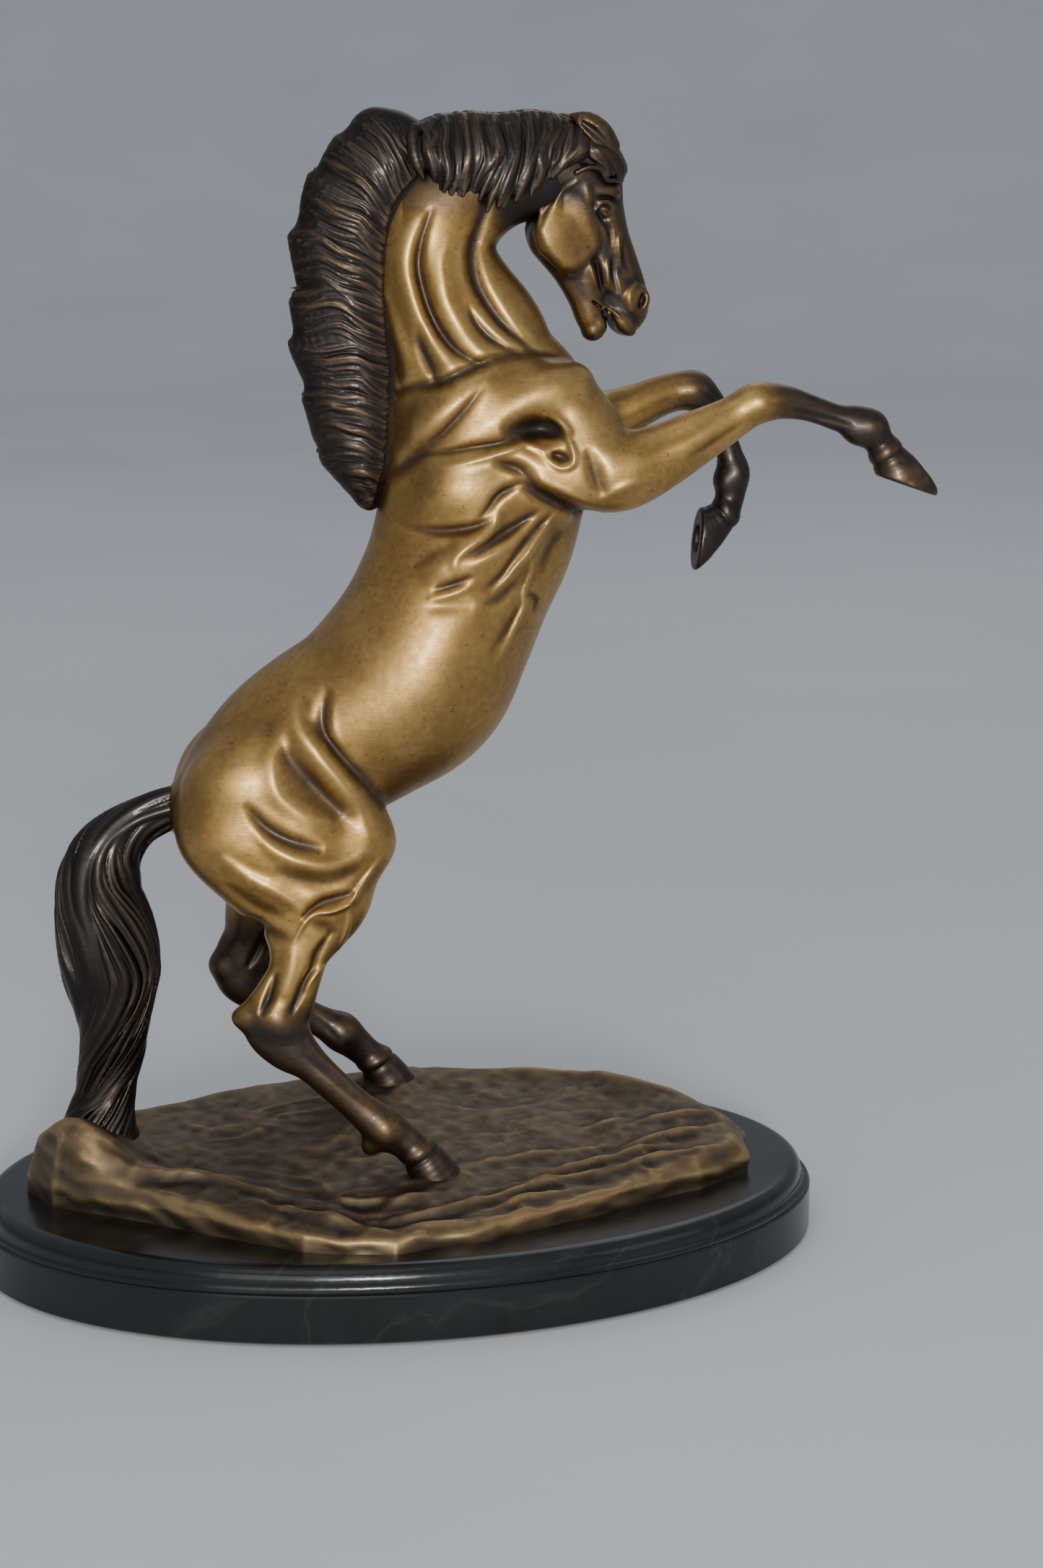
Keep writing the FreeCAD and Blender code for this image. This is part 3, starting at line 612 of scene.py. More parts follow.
def horse_lines(clay):
    press_lines(clay, NECK_LINES + SHOULDER_LINES + HIND_LINES)


FINE_HOLLOWS, BROAD_HOLLOWS = 1.1, 2.8  # how much each counts in the cavity attribute


def set_attribute(mesh, name, values):
    """Adds one number per point."""
    mesh.attributes.new(name, "FLOAT", "POINT").data.foreach_set("value", values.astype(np.float32))


def link(piece, nodes, material):
    """Puts a piece in the scene, on the one body, in place of its CAD nodes."""
    bpy.context.scene.collection.objects.link(piece)
    piece.data.materials.append(material)
    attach(piece, "root")
    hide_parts(*nodes)


def cut_mesh(mesh, planes, keep):
    """Cuts a mesh by planes to the part where keep is true, and closes its cuts with faces marked as caps."""
    work = bmesh.new()
    work.from_mesh(mesh)
    cap_layer = work.faces.layers.int.new("cap")
    for at, normal in planes:
        everything = work.verts[:] + work.edges[:] + work.faces[:]
        bmesh.ops.bisect_plane(work, geom=everything, dist=1e-4, plane_co=at, plane_no=normal)
    if keep is not None:
        wanted = keep(np.array([face.calc_center_median() for face in work.faces]))
        gone = [face for face, stays in zip(work.faces, wanted) if not stays]
        bmesh.ops.delete(work, geom=gone, context="FACES")
    rims = [edge for edge in work.edges if edge.is_boundary]
    if rims:
        caps = bmesh.ops.holes_fill(work, edges=rims, sides=0)["faces"]
        for face in caps:
            face[cap_layer] = 1
        bmesh.ops.triangulate(work, faces=caps)
        bmesh.ops.recalc_face_normals(work, faces=work.faces[:])
    work.to_mesh(mesh)
    work.free()


def read(items, field, width, kind=float):
    """Values of one field of all items, as rows of a width (or one long row for width 0)."""
    values = np.empty(len(items) * max(width, 1), kind)
    items.foreach_get(field, values)
    return values.reshape(-1, width) if width else values


def corner_normals(mesh, point_normals):
    """Shading normals: each point's own, but flat on caps."""
    is_cap = read(mesh.attributes["cap"].data, "value", 0, int)
    mesh.attributes.remove(mesh.attributes["cap"])
    of_face = np.repeat(np.arange(len(is_cap)), read(mesh.polygons, "loop_total", 0, int))
    flat = read(mesh.polygons, "normal", 3)[of_face]
    smooth = point_normals[read(mesh.loops, "vertex_index", 0, int)]
    return np.where(is_cap[of_face][:, None] == 1, flat, smooth)


def clay_piece(name, clay, nodes, material, patina, planes=(), keep=None, turn=None, reach=(1.5, 4.0)):
    """Makes a piece of the clay's surface, in metres, cut by planes to the part where keep is true.

    Its cuts are closed, and its shading normals come from the clay, so that pieces meet without a seam.
    The attributes cavity (above 0 in hollows, below on ridges) and patina (0 to 1, which also holds painted
    shade and a painted highlight) are for the material.
    """
    points, quads = clay.surface()
    if keep is not None:
        quads = quads[keep(points)[quads].any(axis=1)]
        used, quads = np.unique(quads, return_inverse=True)
        points, quads = points[used], quads.reshape(-1, 4)
    mesh = bpy.data.meshes.new(name)
    mesh.from_pydata(points.tolist(), [], quads.tolist())
    cut_mesh(mesh, planes, keep)
    points = read(mesh.vertices, "co", 3)
    rise, _ = clay.slope(points, clay.step * 0.9)
    fine, broad = (clay.slope(points, size)[1] * size / 3 for size in reach)
    set_attribute(mesh, "cavity", np.clip(-fine * FINE_HOLLOWS - broad * BROAD_HOLLOWS, -1, 1))
    set_attribute(mesh, "patina", np.clip(patina(points), 0, 1))
    shading = corner_normals(mesh, rise / np.maximum(np.linalg.norm(rise, axis=1), 1e-6)[:, None])
    if turn is not None:
        points, shading = turn(points), turn(shading, True)
    mesh.vertices.foreach_set("co", (points * MM).ravel())
    mesh.update()
    mesh.shade_smooth()
    mesh.normals_split_custom_set(shading.tolist())
    link(bpy.data.objects.new(name, mesh), nodes, material)


def at_share(points, share):
    """The point at a share of a line's length."""
    rows = np.array(points, float)
    spans = np.r_[0, np.cumsum(np.linalg.norm(np.diff(rows, axis=0), axis=1))]
    where = np.clip(share, 0, 1) * spans[-1]
    return np.array([np.interp(where, spans, column) for column in rows.T])


# The head, before it turns a little to the horse's left about the poll.
HEAD_TURN = math.radians(8)
POLL_X = 48.0
SKULL = [
    (50, 369, MID, 13, 8.5),
    (57, 371, MID, 13.6, 9.6),
    (63.5, 367, MID, 13.2, 10),
    (67, 358, MID, 10.8, 9),
    (70, 348, MID, 10.0, 7.4),
    (73.5, 339, MID, 9.8, 6.2),
    (77, 331, MID, 9.2, 5.7),
    (79.4, 325.5, MID, 7.8, 5.8),
    (79.2, 320.6, MID, 4.8, 4.6),
]
JAW = [
    (53, 348, MID, 8.0, 5.6),
    (60, 339, MID, 7.2, 5.4),
    (64.6, 330, MID, 6.2, 5.0),
    (66.6, 323, MID, 5.2, 4.6),
    (68.0, 318.4, MID, 3.9, 4.0),
]
MOUTH = [
    (66.0, 327.4, MID, 0.3, 9),
    (70.4, 324.2, MID, 0.6, 9),
    (73, 321, MID, 0.8, 9),
    (74, 314, MID, 1.7, 9),
]
# Bony and fleshy parts of the face: (x, z, out, along, up, across, tilt, seam softness).
FACE = [
    (62.4, 362.8, 7.6, 2.2, 4.4, 2.3, 8, 1.2),  # temple
    (69, 363.3, 7.2, 5.4, 2.6, 3.0, -8, 1.5),  # brow bone
    (72.5, 350, 5.0, 7.5, 2.2, 1.9, -72, 2),  # face ridge
    (64.5, 336, 3.4, 8, 3.6, 2.6, -66, 2.5),  # cheek
    (64.8, 337, 5.2, 5, 1.6, 1.6, -68, 1.5),
    (70, 337, 4.6, 6, 2.2, 2.0, -75, 2),
    (74.5, 333, 4.2, 5.5, 2.2, 2.0, -55, 2),
    (81.6, 328, 4.4, 4.4, 4.6, 2.4, -65, 2.0),  # nostril's wing
    (77.2, 320.4, 3.4, 5.6, 3.0, 2.6, -46, 1.5),  # upper lip
    (69.4, 320, 2.4, 3.0, 2.0, 2.2, -60, 1.2),  # lower lip
    (67.2, 317.6, 0, 2.9, 2.7, 3.5, 0, 1.4),  # chin
]
# Lines in the face, in the same form.
FACE_LINES = [
    (1.3, 0.3, 4, (61.5, 337.5), (66.3, 342), (67.8, 348), (64, 357)),  # front of the jowl
    (1.2, 0.8, 4, (46.5, 351), (49, 357.5), (53, 363), (58, 367)),
    (1.3, 0.6, 4, (48, 343.5), (54, 337.8), (60, 336.8)),
    (0.9, -0.6, 4, (51, 358.5), (54, 363.5), (59.5, 367)),
    (1.2, 0.9, 4, (63.8, 360.5), (67.5, 354.5), (70.5, 351), (71.5, 345)),
    (0.9, -0.7, 3, (74.4, 351), (74.2, 344), (75.4, 338)),
    (1.1, 0.5, 3, (76.2, 350), (76, 343), (78.2, 336)),
    (1.0, 0.8, 3, (66.8, 342), (68, 336), (69, 330)),
    (1.0, 0.7, 3, (72.2, 343), (72.6, 336), (74.5, 330)),
    (0.9, -0.5, 3, (64, 341), (65, 337), (66.5, 332)),
    (0.9, -0.5, 3, (70.5, 342), (70.5, 337), (71, 331)),
    (0.8, 0.7, 5, (65.8, 357.8), (68.5, 354.6), (72, 355.6)),
    (0.8, 0.9, 5, (64.6, 361), (69, 361.2), (74, 359.5)),
    (0.7, -0.6, 2, (66.5, 327.2), (71, 325.5), (76, 321.6)),
]
# The outline of the round cheek.
JOWL = [
    (45.4, 353), (46.6, 346.6), (50, 341.2), (54.6, 336.7), (59.4, 337.6), (65.2, 341.4), (67.8, 346),
    (66.2, 352), (62.8, 358.8), (56.6, 362.6), (49.6, 361),
]


def head_masses(clay):
    """The head, facing straight ahead."""
    clay.join(limb(SKULL), 1.0)
    clay.join(limb(JAW), 2.5)
    for side in (-1, 1):
        clay.join(plate(JOWL, 8.3, 6.0, 2.9, side, 0.011), 4.2)
    join_eggs(clay, FACE)
    press_lines(clay, FACE_LINES)
    clay.cut(limb(MOUTH), 0.7)
    for side in (-1, 1):
        face_openings(clay, side)


def face_openings(clay, side):
    """One side's eye, nostril, teeth and ear."""
    clay.cut(ellipsoid(68.8, 357.6, MID + side * 9.0, 2.4, 1.2, 1.4, -18), 1.2)
    clay.join(ellipsoid(68.8, 357.5, MID + side * 7.4, 1.8, 1.1, 1.4, -14), 0.5)
    lid = [(65.6, 357.4), (67.2, 359.6), (69.8, 360), (72.2, 357.8)]
    clay.join(strand(beside(lid, [8.6, 8.9, 8.6, 7.8], side), [0.2, 0.4, 0.4, 0.2]), 1.4)
    clay.cut(ellipsoid(83.1, 327.6, MID + side * 5.7, 1.0, 2.3, 1.5, -18), 2.2)
    wing = [(80.6, 333.2), (79.0, 331.0), (78.4, 328), (79.2, 325)]
    clay.join(strand(beside(wing, [6.0, 6.0, 6.0, 5.6], side), [0.2, 0.5, 0.5, 0.2]), 2.2)
    for x, z, size in [(68.0, 326.4, 0.7), (70.0, 325.4, 0.8), (72.2, 323.8, 0.9), (74.0, 321.8, 0.9)]:
        clay.join(ellipsoid(x, z, MID + side * 3.4, size, size * 1.3, 0.8, -35), 0.3)
    ear = [(69, 377.5), (65.4, 381.4), (61.6, 384.8), (57, 387.2)]
    clay.join(strand(beside(ear, [9.0, 10.8, 10.8, 9.0], side), [4.4, 4.8, 3.8, 1.0], 0.75), 1.2)
    cup = [(67, 378.2), (63.4, 381.4), (59.4, 384.8)]
    clay.cut(strand(beside(cup, [14.2, 14.6, 12.6], side), [0.9, 1.6, 0.6]), 1.2)


def turn_head(rows, direction=False):
    """Turns head points (or directions) about the poll's upright axis."""
    c, s = math.cos(HEAD_TURN), math.sin(HEAD_TURN)
    shift = np.zeros(3) if direction else np.array([POLL_X, MID, 0])
    x, y, z = (rows - shift).T
    return np.column_stack([c * x - s * y, s * x + c * y, z]) + shift


def settle(clay, points, side, sink):
    """Lays (x, z) points on one side of the surface, a little sunk into it, as (x, y, z)."""
    rows = np.insert(points, 1, 0.0, axis=1)
    outs = np.arange(24, 0.4, -0.4)
    places = np.repeat(rows[:, None, :], len(outs), axis=1)
    places[:, :, 1] = MID + side * outs
    inside = clay.sample(places.reshape(-1, 3)).reshape(len(rows), -1) < 0
    found = outs[np.where(inside.any(axis=1), inside.argmax(axis=1), -1)]
    even = np.convolve(np.pad(found, 1, "edge"), [0.25, 0.5, 0.25], "valid")
    rows[:, 1] = MID + side * np.maximum(even - sink, 0.5)
    return rows


def comb(clay, paths, radius, rng):
    """Lays fine hairs over a surface of locks. A path is ((x, z) points, side, sink)."""
    hairs = []
    for points, side, sink in paths:
        rows = settle(clay, smooth_path(points, 2), side, sink)
        share = np.linspace(0, 1, len(rows))
        radii = radius * (0.8 + 0.4 * rng.uniform()) * (1 - 0.55 * share**3)
        hairs.append(strand(rows, radii, 1.0, 1))
    for hair in hairs:
        clay.join(hair, 0.25, 1.6)


# The blown mane: where locks start along the neck's crest, and where they end, as (x, z).
MANE_ROOT = [
    (9, 371), (5, 370), (1, 366), (-3, 361), (-5, 355), (-7, 347), (-7.5, 338), (-7.5, 329), (-7, 319),
    (-6, 309), (-6, 299), (-6.5, 288), (-7, 277), (-8, 267), (-9, 261),
]
MANE_TIP = [
    (4.5, 384.8), (-4, 387.6), (-10.5, 386.4), (-16.8, 379.6), (-24.2, 371.2), (-29, 360), (-32.4, 349),
    (-32.2, 337), (-32, 326), (-32.8, 315), (-29.6, 305), (-28, 293), (-26, 281), (-16.5, 270),
    (-10, 261.6),
]
LOBES = 9  # the clumps that the mane's hair is blown into
MANE_ROWS, MANE_LOCKS, MANE_HAIRS = 3, 34, 210  # on each side
# At each point of a lock of the mane: the share of its length with how much it lifts, the core's radius, the
# lock's radius, and its distance out in the first rows and in the last.
MANE_LIFTS = [(-0.12, 0), (0.12, 0.5), (0.32, 1.0), (0.52, 0.95), (0.7, 0.6), (0.86, 0.1), (1.0, -0.5)]
MANE_CORE = [7.6, 8.6, 8.8, 8.0, 6.6, 4.6, 1.8]
MANE_RADII = [2.2, 2.7, 3.0, 2.9, 2.5, 1.8, 0.6]
MANE_OUTS = [5.6, 7.6, 7.8, 7.2, 6.0, 4.4, 1.8]
MANE_OUTS_LAST = [2.5, 4.6, 5.2, 4.8, 3.8, 2.4, 1.0]


def lobe_of(share):
    """The clump that hair at a share of the mane's length is in, and how far across it, from 0 to 1."""
    place = LOBES * share + 0.35
    return math.floor(place), place % 1


def clump(share):
    """How much shorter hair is across a clump, so that the mane's edge is stepped."""
    return 0.11 * lobe_of(share)[1] - 0.035


def mane_path(share, rng, slip, short, drift=0.0):
    """A lock's side view: it leaves the neck level or rising, then waves back to its clump's tip."""
    count = len(MANE_ROOT) - 1
    lobe, _ = lobe_of(share)
    end = share + 0.22 * ((lobe + 0.15) / LOBES - share) + drift
    root, tip = (
        np.array([np.interp(where * count, range(count + 1), column) for column in zip(*line)])
        for line, where in ((MANE_ROOT, share), (MANE_TIP, np.clip(end, 0, 1)))
    )
    reach = (tip - root) * (1 - short)
    length = np.linalg.norm(reach)
    up = np.array([reach[1], -reach[0]]) / max(length, 1)
    up = up if up[1] > 0 or share < 0.2 else -up
    rise = 0.07 * length + slip
    wave = length * (0.032 + 0.02 * math.sin(5.3 * lobe))
    rows = []
    for t, lift in MANE_LIFTS:
        bend = wave * math.sin(8.0 * t + 1.9 * lobe) * min(1, max(3 * t, 0))
        rows.append(root + reach * t + up * (rise * lift + bend + rng.normal(0, 0.15)))
    return rows


def fullness(rows):
    """Short hair is thin too: 1 where a lock is long, less where it is short."""
    return min(1.0, 0.2 + np.linalg.norm(rows[-1] - rows[0]) / 25)


def blown_mane(clay):
    """The free mass of hair behind the neck: a core, rows of locks over it, and hairs over those."""
    rng = np.random.default_rng(11)
    count = 3 * (len(MANE_ROOT) - 1)
    for number in range(count):
        share = (number + 0.5) / count
        rows = mane_path(share, rng, 0, clump(share) + 0.02)
        radii = fullness(rows) * np.array(MANE_CORE)
        clay.join(strand([(x, MID, z) for x, z in rows], radii, 0.92, 2), 3.0, 4.0)
    for side in (-1, 1):
        for row in range(MANE_ROWS):
            for number in range(MANE_LOCKS):
                share = (number + 0.2 + 0.3 * row + rng.uniform(-0.25, 0.25)) / MANE_LOCKS
                share = np.clip(share, 0, 1)
                short = clump(share) + (rng.uniform(0.05, 0.4) if row == 0 else rng.uniform(-0.04, 0.04))
                rows = mane_path(share, rng, rng.uniform(-1.3, 1.3), short, rng.normal(0, 0.014))
                outs = np.array(MANE_OUTS if row < 2 else MANE_OUTS_LAST)
                outs = outs + rng.uniform(-0.5, 0.4) + 0.9 * math.sin(math.pi * lobe_of(share)[1]) - 0.4
                radii = rng.uniform(0.4, 0.8) * np.array(MANE_RADII)
                clay.join(strand(beside(rows, outs * fullness(rows), side), radii, 0.8), 0.8, 3.0)
    paths = []
    for side in (-1, 1):
        for number in range(MANE_HAIRS):
            share = (number + rng.uniform(0.1, 0.9)) / MANE_HAIRS
            short = clump(share) + rng.uniform(0.0, 0.16)
            rows = mane_path(share, rng, rng.uniform(-0.9, 0.9), short, rng.normal(0, 0.009))
            paths.append((rows, side, rng.uniform(-0.2, 0.15)))
    comb(clay, paths, 0.5, rng)


# The hair over the neck's top: where locks start, and where they end, as (x, z).
CREST_TOPS = [
    (8, 383.5), (14, 386.6), (24, 387.8), (34, 387.2), (46, 388.4), (54, 387.4), (60, 384.5), (63, 380),
]
CREST_TIPS = [
    (10, 369), (13, 364.5), (17, 360.5), (21, 361.5), (26.5, 362), (29.5, 358.5), (32.2, 356),
    (35.5, 358.6), (40, 360.2), (44.5, 363.6), (48, 366), (53, 369), (57, 373),
]
CREST_ROWS, CREST_LOCKS, CREST_HAIRS = 3, 17, 150  # on each side
# The mass below the crest's locks, as (x, z, up, across), then each lock's distances out and radii.
CREST_CORE = [
    (13, 375, 10, 9.5),
    (23, 374, 12.2, 12),
    (34, 373.2, 12.8, 12.6),
    (45, 375.5, 11.6, 12),
    (54, 378, 9, 10.5),
]
CREST_OUTS = [1.5, 6.6, 9.6, 11.2, 12.0, 12.2, 11.8]
CREST_RADII = [1.4, 1.9, 2.3, 2.5, 2.5, 2.0, 0.9]
# The two leaves of hair at the crest's back end: (x, z) points, distances out and radii.
CREST_LEAVES = [
    ([(6.6, 383), (6.0, 378.5), (6.6, 373), (8.8, 367.4)], [6, 9, 10.8, 11], [1.8, 2.6, 2.2, 0.6]),
    ([(13, 385), (10.4, 379), (9.8, 373.5), (11.4, 368.8)], [7, 9.8, 11, 11.2], [1.6, 2.6, 2.4, 0.8]),
]


def crest_path(share, rng, slip, short):
    """A lock's side view: from the crest's top it falls, waves and sweeps back to its tip."""
    top, tip = at_share(CREST_TOPS, share), at_share(CREST_TIPS, share)
    across, fall = tip[0] - top[0], (top[1] - tip[1]) * (1 - short)
    wave = 0.9 + 0.8 * math.sin(19 * share)
    rows = []
    for t in (0, 0.1, 0.28, 0.46, 0.64, 0.82, 1.0):
        sway = (wave * math.sin(7.5 * t + 9 * share) + slip) * math.sin(math.pi * min(t, 0.75))
        ahead = across * t**1.4 + sway
        rows.append((top[0] + ahead + 1.6 * math.sin(math.pi * t) + rng.normal(0, 0.08), top[1] - fall * t))
    return rows


def crest_mane(clay):
    """The hair that falls over the top of the neck, built like the blown mane."""
    rng = np.random.default_rng(23)
    for x, z, up, half in CREST_CORE:
        clay.join(ellipsoid(x, z, MID, 9.0, up, half), 4.0)
    for side in (-1, 1):
        for row in range(CREST_ROWS):
            for number in range(CREST_LOCKS):
                share = (number + 0.2 + 0.3 * row + rng.uniform(-0.2, 0.2)) / CREST_LOCKS
                short = rng.uniform(0.05, 0.3) if row == 0 else rng.uniform(-0.02, 0.08)
                rows = crest_path(np.clip(share, 0.01, 0.99), rng, rng.uniform(-0.9, 0.9), short)
                outs = np.array(CREST_OUTS) * (1.02 if row < 2 else 0.94) + rng.uniform(-0.5, 0.5)
                radii = rng.uniform(0.5, 1.0) * np.array(CREST_RADII)
                clay.join(strand(beside(rows, outs, side), radii, 0.85), 0.8, 3.0)
    paths = []
    for side in (-1, 1):
        for number in range(CREST_HAIRS):
            share = (number + rng.uniform(0.1, 0.9)) / CREST_HAIRS
            rows = crest_path(share, rng, rng.uniform(-0.9, 0.9), rng.uniform(0.04, 0.22))
            paths.append((rows, side, rng.uniform(-0.15, 0.2)))
    comb(clay, paths, 0.5, rng)
    for side in (-1, 1):
        for leaf, outs, radii in CREST_LEAVES:
            clay.join(strand(beside(leaf, outs, side), radii, 0.8), 0.4)


# Where the forelock's hairs end round the brow, from its middle to its left: (x, z, distance out).
BROW_HALF = [
    (76.5, 366.4, 0), (76.2, 366.4, 3.6), (74.6, 366.6, 7.4), (71.5, 366.8, 10.2), (68.4, 367, 11.4),
    (66, 370.3, 12.2), (61.8, 370.9, 12.6), (57.8, 369.2, 11.8),
]
BROW_LINE = [(x, z, -out) for x, z, out in BROW_HALF[:0:-1]] + BROW_HALF
FORELOCK_LAYERS = [(15, 1.7, 0.0), (70, 0.5, 1.25)]  # locks, then hairs: count, radius, height over the rest
# The forelock's body, as eggs on the mid plane: (x, z, y, along, up, across, tilt).
FORELOCK_CORE = [
    (62, 377, MID, 9, 8.2, 10.8, -10),
    (66, 375.2, MID, 8.8, 8.4, 10.4, -25),
    (64.5, 373, MID, 8.5, 5.4, 12.2, 0),
    (69.8, 371, MID, 6.8, 5.2, 10.2, 0),
]


def forelock(clay):
    """The hair over the forehead, in the head's own position: it is swept forward to a rolled edge."""
    rng = np.random.default_rng(31)
    for egg in FORELOCK_CORE:
        clay.join(ellipsoid(*egg), 3.0)
    for count, radius, lift in FORELOCK_LAYERS:
        for number in range(count):
            place = (number + rng.uniform(0.2, 0.8)) / count
            side, tip = (at_share(BROW_LINE, at) for at in (place, 0.5 + 0.72 * (place - 0.5)))
            turn = side[2] / 12.6
            drop = 1 - math.sqrt(max(1 - turn * turn, 0.0))
            out, rise, low = 1 + 0.08 * lift, 0.6 * lift, side[1] + 4.8
            sway = rng.uniform(-0.3, 0.3)
            path = [
                (56.0 + sway, MID + 4.5 * turn, 386.4 + rise),
                (60.5 + 2.5 * (1 - drop), MID + 9.5 * turn * out, 385.8 - 4.0 * drop + 0.7 * lift),
                ((64.5 + side[0]) / 2 - drop + rise, MID + 11.8 * turn * out, 381.0 - 4.6 * drop + rise),
                (0.5 * (side[0] + tip[0]) + lift * 0.8 * (1 - drop), MID + side[2] * out, low + sway),
                (tip[0] + 0.2 * lift, MID + tip[2] * out, tip[1] + rng.uniform(0.6, 2.2)),
            ]
            radii = [radius * 0.7, radius, radius, radius * 0.95, radius * 0.6]
            clay.join(strand(path, radii), 0.8 if radius > 1 else 0.25, 2.0)
    rim = [(x - 0.3, MID + out * 0.99, z) for x, z, out in BROW_LINE]
    clay.join(strand(rim, [0.9] * len(rim)), 0.6, 2.0)


# The tail's middle line: (x, z, half width in the side view).
TAIL_LINE = [
    (-74, 161, 6.8), (-80, 159.5, 7.0), (-88, 156, 7.6), (-95, 150.5, 9.6), (-100, 143.5, 11.8),
    (-102.5, 133, 13.2), (-101, 121.5, 14.6), (-99.3, 108, 15.4), (-99, 98, 14.2), (-98.8, 88, 12.4),
    (-99.5, 78, 10.8), (-101.5, 68, 9.4), (-102.5, 60, 9.4), (-104, 53, 11.4), (-105, 47, 13.5),
]


# Locks, then hairs round the tail: count, and shares of the half width for the distance out and radius, then
# the seam's softness.
TAIL_LAYERS = [(16, 0.84, 0.2, 0.8), (84, 1.0, 0.05, 0.25)]


def tail(clay):
    """The tail: strands that run down round its middle line with a slow twist."""
    rng = np.random.default_rng(41)
    line = smooth_path(TAIL_LINE, 3)
    clay.join(limb([(x, z, MID, half * 0.88, half * 0.64) for x, z, half in TAIL_LINE]), 1.0)
    ahead = np.gradient(line[:, :2], axis=0)
    ahead /= np.linalg.norm(ahead, axis=1)[:, None]
    aside = np.column_stack([-ahead[:, 1], ahead[:, 0]])
    share = np.linspace(0, 1, len(line))
    for count, out, size, seam in TAIL_LAYERS:
        for number in range(count):
            phase = 2 * math.pi * (number + rng.uniform(-0.25, 0.25)) / count
            wobble = rng.uniform(0, 6.28)
            slow = 0.22 * np.sin(6 * share + 2 * phase) + 0.1 * np.sin(15 * share + 3 * phase)
            twist = phase + 1.4 * fade(share, 0.1, 0.6) - 3.0 * fade(share, 0.5, 1.05)
            turn = twist + slow + 0.05 * np.sin(11 * share + wobble)
            swell = 1 + 0.05 * np.sin(9 * share + 2.0 * phase) + 0.03 * np.sin(20 * share + wobble)
            half = line[:, 2] * out * swell
            x, z = (line[:, :2] + aside * (half * np.cos(turn))[:, None]).T
            path = np.column_stack([x, MID + 0.74 * half * np.sin(turn), z])
            radii = line[:, 2] * size * (0.9 + 0.3 * np.sin(5 * share + wobble))
            clay.join(strand(path[::2], radii[::2]), seam, 2.0)


GROUND_FOOT = 25.5  # the height of the ground's lowest edge, on the marble's top
# The ground's outline on the marble, as (x, y).
GROUND_OUTLINE = [
    (-131, -2), (-123, -20), (-98, -35), (-70, -55), (-42, -74), (-12, -82), (22, -74), (62, -58),
    (100, -42), (121, -27), (126, -4), (116, 22), (94, 44), (60, 60), (20, 68), (-25, 66), (-68, 56),
    (-104, 38), (-126, 16),
]


NOISE_CELLS = 97  # after this many cells the noise repeats
NOISE_SHIFT = 300  # keeps places positive before they are divided into cells


def noise_map(x, y, scale, seed):
    """Smooth values from -1 to 1 with features about scale mm across."""
    rng = np.random.default_rng(seed)
    table = rng.uniform(-1, 1, (NOISE_CELLS, NOISE_CELLS))
    u, v = (x + NOISE_SHIFT) / scale, (y + NOISE_SHIFT) / scale
    i, j = np.floor(u).astype(int), np.floor(v).astype(int)
    fu, fv = u - i, v - j
    fu, fv = fu * fu * (3 - 2 * fu), fv * fv * (3 - 2 * fv)

    def corner(a, b):
        return table[(i + a) % NOISE_CELLS, (j + b) % NOISE_CELLS]

    low = corner(0, 0) * (1 - fu) + corner(1, 0) * fu
    high = corner(0, 1) * (1 - fu) + corner(1, 1) * fu
    return low * (1 - fv) + high * fv


# Rises in the ground's top: (x, y, height, half length, half depth, tilt in degrees).
MOUNDS = [
    (-108, -8, 11, 17, 14, 10),
    (-104, -18, 5, 14, 10, 0),
    (-124, -12, 5, 12, 12, 0),
    (-2, 32, 5, 22, 14, 10),
    (8, -38, 1.5, 14, 9, 0),
    (92, 22, 5, 26, 12, -25),
    (60, 40, 3, 24, 10, -10),
    (-84, -28, 2.2, 26, 2.6, -12),
    (-38, -58, 2.0, 22, 2.4, -32),
    (48, -48, 2.2, 26, 2.2, 20),
    (72, -34, 2.4, 20, 2.2, 14),
    (92, -22, 2.6, 18, 2.0, 22),
    (-4, -64, 2.4, 14, 2.0, 4),
    (18, -58, 1.8, 16, 2.0, 16),
    (-20, -52, 1.6, 16, 2.2, -14),
    (-60, -38, 1.6, 20, 2.2, -24),
    (36, -30, 1.6, 22, 3.0, 12),
    (-30, -66, 2.2, 13, 3.0, -30),
    (-8, -56, 2.0, 9, 2.6, 24),
    (6, -70, 1.8, 15, 1.8, 8),
    (34, -60, 1.8, 18, 1.7, 16),
    (84, -38, 1.8, 22, 1.6, 20),
    (-92, -22, 1.6, 20, 3.0, -20),
    (-112, -14, 2.2, 12, 4.0, -40),
    (72, -8, 1.6, 9, 2.2, 10),
    (96, -8, 2.0, 16, 2.4, 14),
]


def ground_height(x, y):
    """The height of the rough top, with its mounds and folds."""
    bend = 6 * noise_map(x, y, 34, 5)
    height = 40.2 + 0.13 * y
    for mx, my, rise, half, depth, tilt in MOUNDS:
        c, s = math.cos(math.radians(tilt)), math.sin(math.radians(tilt))
        u, v = (x - mx) * c + (y - my) * s, (y - my) * c - (x - mx) * s
        v = v + (0.35 * bend if depth < 5 else 0)
        height = height + rise * np.exp(-((u / half) ** 2) - (v / depth) ** 2)
    fold = 1 - np.abs(noise_map(x + bend, (y + bend) * 2.4, 24, 7))
    front = fade(y, -20, -60)
    height = height + (0.8 + 0.9 * front) * (fold**2 - 0.4) + 1.0 * noise_map(x, y, 23, 9)
    height = height + (0.4 + 0.5 * front) * noise_map(x, y, 9, 13)
    return height + 0.3 * noise_map(x, y * 1.4, 5.2, 15) + 0.2 * noise_map(x, y * 1.4, 3.2, 17)


